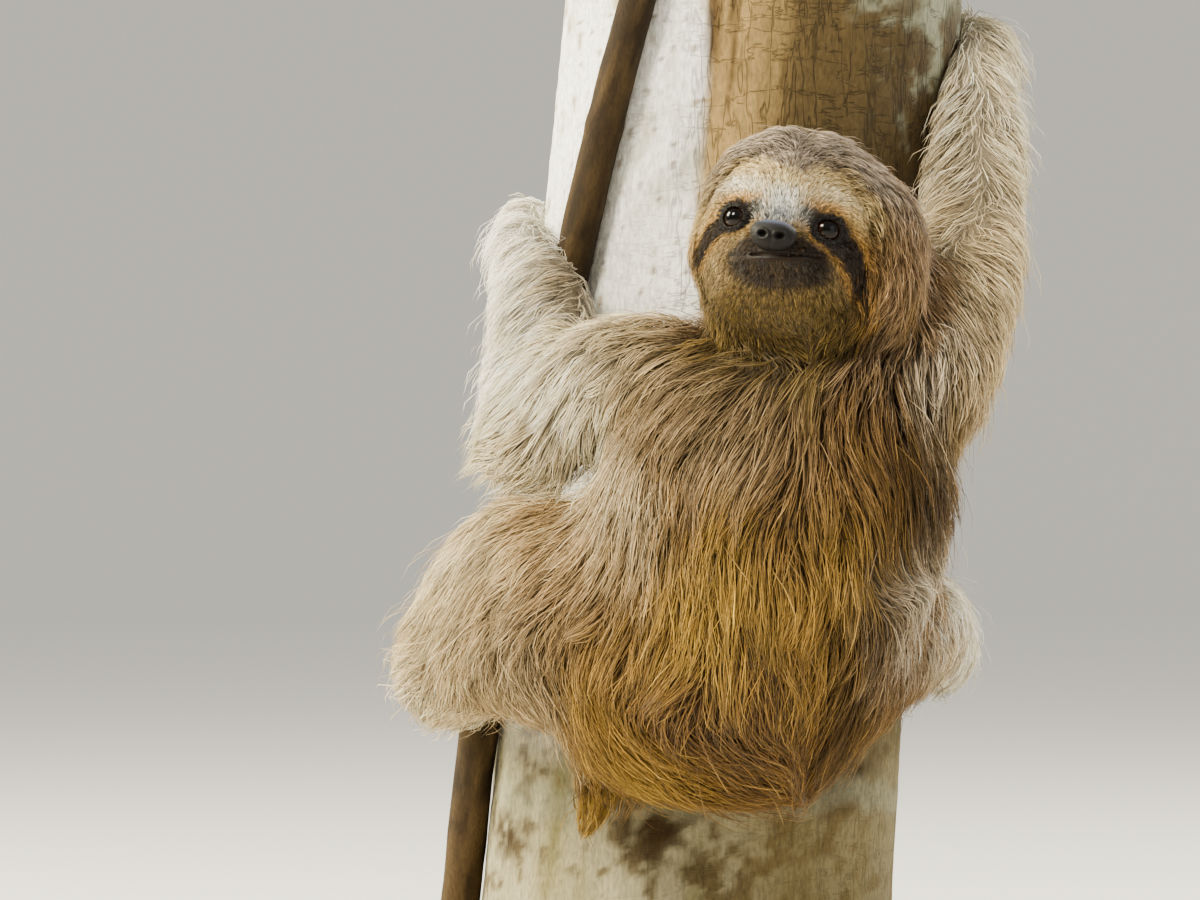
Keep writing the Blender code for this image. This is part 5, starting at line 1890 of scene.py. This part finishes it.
    def build(self) -> None:
        """Every coat piece, each split from top to bottom where it would hold too many locks."""
        finish = FurFinish().make()
        for place, (coat, growth) in enumerate(GROWTHS.items()):
            rng = np.random.default_rng(SEED + 17 * place)
            centres, ups, width, tone_and_layer_shade = self.grow(coat, growth, rng)
            roots = centres[:, 0]
            rings = growth.cut.value
            parts = math.ceil(len(roots) / (self.most_triangles // (6 * rings - 8)))
            order = np.argsort(-roots[:, 2], kind="stable")
            for number, rows in enumerate(np.array_split(order, parts)):
                made = self.locks(centres[rows], ups[rows], width[rows])
                short = growth.cut is Cut.TUFT
                made.values["coat"] = self.tones(roots[rows], tone_and_layer_shade[rows], rings, rng, short)
                made.patches = self.chart(roots[rows], rings)
                made.piece(coat if parts == 1 else f"{coat}_{number + 1}", finish, growth.slot)


# ---------------------------------------------------------------- eyes, nose and claws


@dataclass
class Eyes:
    """Both eyes: a ball with a clear bulge over the iris."""

    head: Head
    bulge: float = 0.0006
    courses: int = 48
    sides: int = 64

    def build(self) -> None:
        """Turn r + bulge exp(-(a / 0.7)^2) round the gaze, with a the turn away from it."""
        finish = EyeFinish().make()
        away, ways = sphere(self.courses, self.sides)
        reach = self.head.eye_radius + self.bulge * hill((away, 0.0, 0.7))
        turn = np.repeat(away.ravel() / (math.pi / 2), self.sides)
        marks = np.zeros((self.sides, 3))
        marks[:, 0] = 9 * np.linspace(0, 2 * math.pi, self.sides, endpoint=False)
        spokes = np.tile(lattice_noise(marks, 1.0, 5), self.courses)
        for side, name in ((-1, "right"), (1, "left")):
            ahead, sideways, up = self.head.gaze(side)
            rings = reach[..., None] * (ways @ np.array([sideways, up, ahead]))
            made = tube(self.head.outward(rings + self.head.eye_centre(side)))
            made.values["turn"] = np.concatenate([turn, [0.0, 2.0]])
            made.values["spokes"] = np.concatenate([spokes, [0.0, 0.0]])
            made.piece(f"eyeball_{name}", finish, "eye", [f"eye_{name}"])


@dataclass
class NosePad:
    """The bare nose pad with its two nostrils and the groove between them."""

    head: Head
    courses: int = 72
    sides: int = 96
    nostril: tuple[float, float] = (0.0044, -0.0008)
    hole: float = 0.0030
    brim: float = 0.0006
    groove: float = 0.0005

    def dents(self, across: Array, up: Array) -> Array:
        """How far the pad's front lies back, for places across it and up it.

        With q and s the squared distances from a nostril in its own width and in its brim's, each
        nostril gives hole exp(-q^1.3) - brim exp(-3 (s - 1)^2).
        """
        dents = self.groove * hill((across, 0.0, 0.0008)) * smooth_step(0.002, -0.003, up)
        for side in (-1, 1):
            beside, above = across - side * self.nostril[0], up - self.nostril[1]
            near = (beside / 0.0018) ** 2 + ((above - 0.12 * side * across) / 0.0013) ** 2
            wide = (beside / 0.0031) ** 2 + (above / 0.0025) ** 2
            dents = dents + self.hole * np.exp(-(near**1.3)) - self.brim * np.exp(-3 * (wide - 1) ** 2)
        return dents

    def build(self) -> None:
        """Dent an ellipsoid whose upper part is the wider one."""
        _, ways = sphere(self.courses, self.sides)
        ways = np.stack([ways[..., 0], -ways[..., 2], ways[..., 1]], axis=-1)
        place = ways * np.array(self.head.nose_half)
        wide = 1 + 0.18 * smooth_step(-0.2, 0.9, ways[..., 2])
        place[..., 0] *= np.where(ways[..., 2] > 0, wide, 1 - 0.10 * ways[..., 2] ** 2)
        dents = self.dents(place[..., 0], place[..., 2])
        place[..., 1] += dents * smooth_step(0.2, -0.4, ways[..., 1])
        made = tube(self.head.outward(place + np.array(self.head.nose_centre)))
        # Painted light: a blue-grey sheen on the pad's upper front, and painted shade down in the nostril
        # dents.
        top = smooth_step(0.1, 0.95, ways[..., 2]) * smooth_step(0.6, -0.3, ways[..., 1])
        dark = np.clip(dents / 0.0022, 0, 1)
        made.values["wear"] = np.concatenate([(0.22 + 0.70 * top - 0.45 * dark).ravel(), [0.2, 0.2]])
        made.piece("nose_pad", NoseFinish().make(), "nose_skin", ["nose"])


@dataclass(frozen=True)
class Grip:
    """How a hand or a foot holds the trunk.

    It holds the turn round the trunk in degrees where the claws start, the way that they run, the
    middle claw's height, the spacing up the trunk, the turn along a claw in degrees, and its arch.
    """

    turn: float
    way: int
    height: float
    spacing: float
    length: float
    arch: float


GRIPS = {
    "hand_left": Grip(117.0, 1, 0.455, 0.0135, 33.0, 0.0085),
    "hand_right": Grip(-123.0, -1, 0.554, 0.0135, 33.0, 0.0085),
    "foot_left": Grip(122.0, 1, 0.209, 0.0120, 27.0, 0.0070),
    "foot_right": Grip(-124.0, -1, 0.232, 0.0120, 27.0, 0.0070),
}


@dataclass
class Claws:
    """Three long hooked claws on each hand and foot, curved round onto the bark."""

    trunk: Trunk
    count: int = 3
    courses: int = 40
    sides: int = 20

    def build(self) -> None:
        """Carry a tapering oval from the fingers round the trunk and back onto the bark.

        At the share t the claw stands off by 12.5 mm (1 - t)^1.4 + arch sin(pi t^0.9) + 2.2 mm t.
        """
        finish = ClawFinish().make()
        share = np.linspace(0, 1, self.courses)
        taper = (1 - share) ** 0.6
        along = np.concatenate([np.repeat(share, self.sides), [0.0, 1.0]])
        for limb, grip in GRIPS.items():
            rise = grip.arch * np.sin(math.pi * share**0.9)
            stand_off = 0.0125 * (1 - share) ** 1.4 + rise + 0.0022 * share
            for claw in range(self.count):
                off = claw - (self.count - 1) / 2
                reach = grip.length * (1 - 0.06 * abs(off))
                turn = np.radians(grip.turn + grip.way * reach * share)
                height = grip.height + off * grip.spacing + 0 * share
                path = self.trunk.beside(turn, height, stand_off)
                outward = self.trunk.outward(path)
                made = swept(path, outward, 0.0024 * taper + 0.0005, 0.0034 * taper + 0.0006, self.sides)
                made.values["along"] = along
                made.piece(f"horn_{limb}_{claw + 1}", finish, "claw_horn", [f"claw_{limb}_{claw + 1}"])


# ---------------------------------------------------------------- studio


@dataclass(frozen=True)
class Lamp:
    """A square soft lamp: its place, its width, its power in watts and its colour."""

    name: str
    place: tuple[float, float, float]
    size: float
    power: float
    tone: str


LAMPS = (
    Lamp("key", (-1.9, -1.8, 2.5), 0.9, 262.0, "#fff3dc"),
    Lamp("fill", (2.4, -2.2, 1.2), 2.2, 26.0, "#f6f6ff"),
    Lamp("rim_left", (-2.2, 0.5, 1.6), 1.0, 195.0, "#fff6d8"),
    Lamp("rim_right", (1.9, 1.2, 2.0), 1.0, 130.0, "#fffaf0"),
)


@dataclass
class Studio:
    """A pale floor that sweeps up far away, soft lamps, and the camera."""

    flat: float = 9.0
    rim: float = 16.0
    wall: float = 7.0
    sides: int = 96
    aim: tuple[float, float, float] = (0.0, -0.05, 0.35)
    camera_at: tuple[float, float, float] = (-0.056, -2.938, 0.337)
    lens: float = 170.0
    sky_strength: float = 0.98
    sky_tone: str = "#f4f2ec"

    def build(self) -> None:
        """Make the floor, the lamps, the sky and the camera."""
        self.floor()
        for lamp in LAMPS:
            self.light(lamp)
        self.sky()
        self.camera()

    def floor(self) -> None:
        """Turn a flat line with a quarter of an oval at its far end."""
        turn = np.linspace(0, math.pi / 2, 33)
        far = self.flat + (self.rim - self.flat) * np.sin(turn)
        bend = np.stack([far, self.wall * (1 - np.cos(turn))], axis=1)
        inner = np.stack([np.linspace(0.5, self.flat - 0.5, 12), np.zeros(12)], axis=1)
        sheet = turned(np.concatenate([inner, bend]), (0, 0, 0), self.sides)
        open_above = (sheet.triangles < len(sheet.points) - 1).all(axis=1)
        sheet.triangles = sheet.triangles[open_above][:, ::-1]
        sheet.quads = sheet.quads[:, ::-1]
        sheet.shown("studio_floor", PaintFinish().make())

    def light(self, lamp: Lamp) -> None:
        """Add a lamp that points at the animal's middle."""
        light = bpy.data.lights.new(lamp.name, "AREA")
        light.size = lamp.size
        light.energy = lamp.power
        light.color = linear(lamp.tone)
        made = placed(lamp.name, light)
        made.location = lamp.place
        way = Vector(self.aim) - Vector(lamp.place)
        made.rotation_euler = way.to_track_quat("-Z", "Y").to_euler()

    def sky(self) -> None:
        """Fill the studio with even pale light."""
        world = bpy.data.worlds.new("studio_sky")
        bpy.context.scene.world = world
        world.use_nodes = True
        back = world.node_tree.nodes["Background"]
        back.inputs["Color"].default_value = (*linear(self.sky_tone), 1.0)
        back.inputs["Strength"].default_value = self.sky_strength

    def camera(self) -> None:
        """Add a long lens that looks level along +Y."""
        camera = bpy.data.cameras.new("camera")
        camera.lens = self.lens
        camera.sensor_width = 36.0
        camera.clip_start = 0.05
        camera.clip_end = 60.0
        eye = placed("camera", camera)
        eye.location = self.camera_at
        eye.rotation_euler = (math.pi / 2, 0.0, 0.0)
        bpy.context.scene.camera = eye


# ---------------------------------------------------------------- the whole


def main() -> None:
    """Load the frame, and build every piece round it."""
    logging.basicConfig(level=logging.INFO, format="%(name)s %(message)s")
    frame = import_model()
    trunk = Trunk()
    trunk.build()
    Liana(trunk).build()
    Stand(trunk).build()
    head = Head()
    body = Body(head, trunk)
    body.gather(frame["nodes"])
    markings = Markings(body)
    sheet = Skin(body, markings).build()
    Eyes(head).build()
    NosePad(head).build()
    Claws(trunk).build()
    Coat(body, Lie(body), markings, sheet).build()
    Studio().build()
    bpy.context.view_layer.update()


if __name__ == "__main__":
    main()
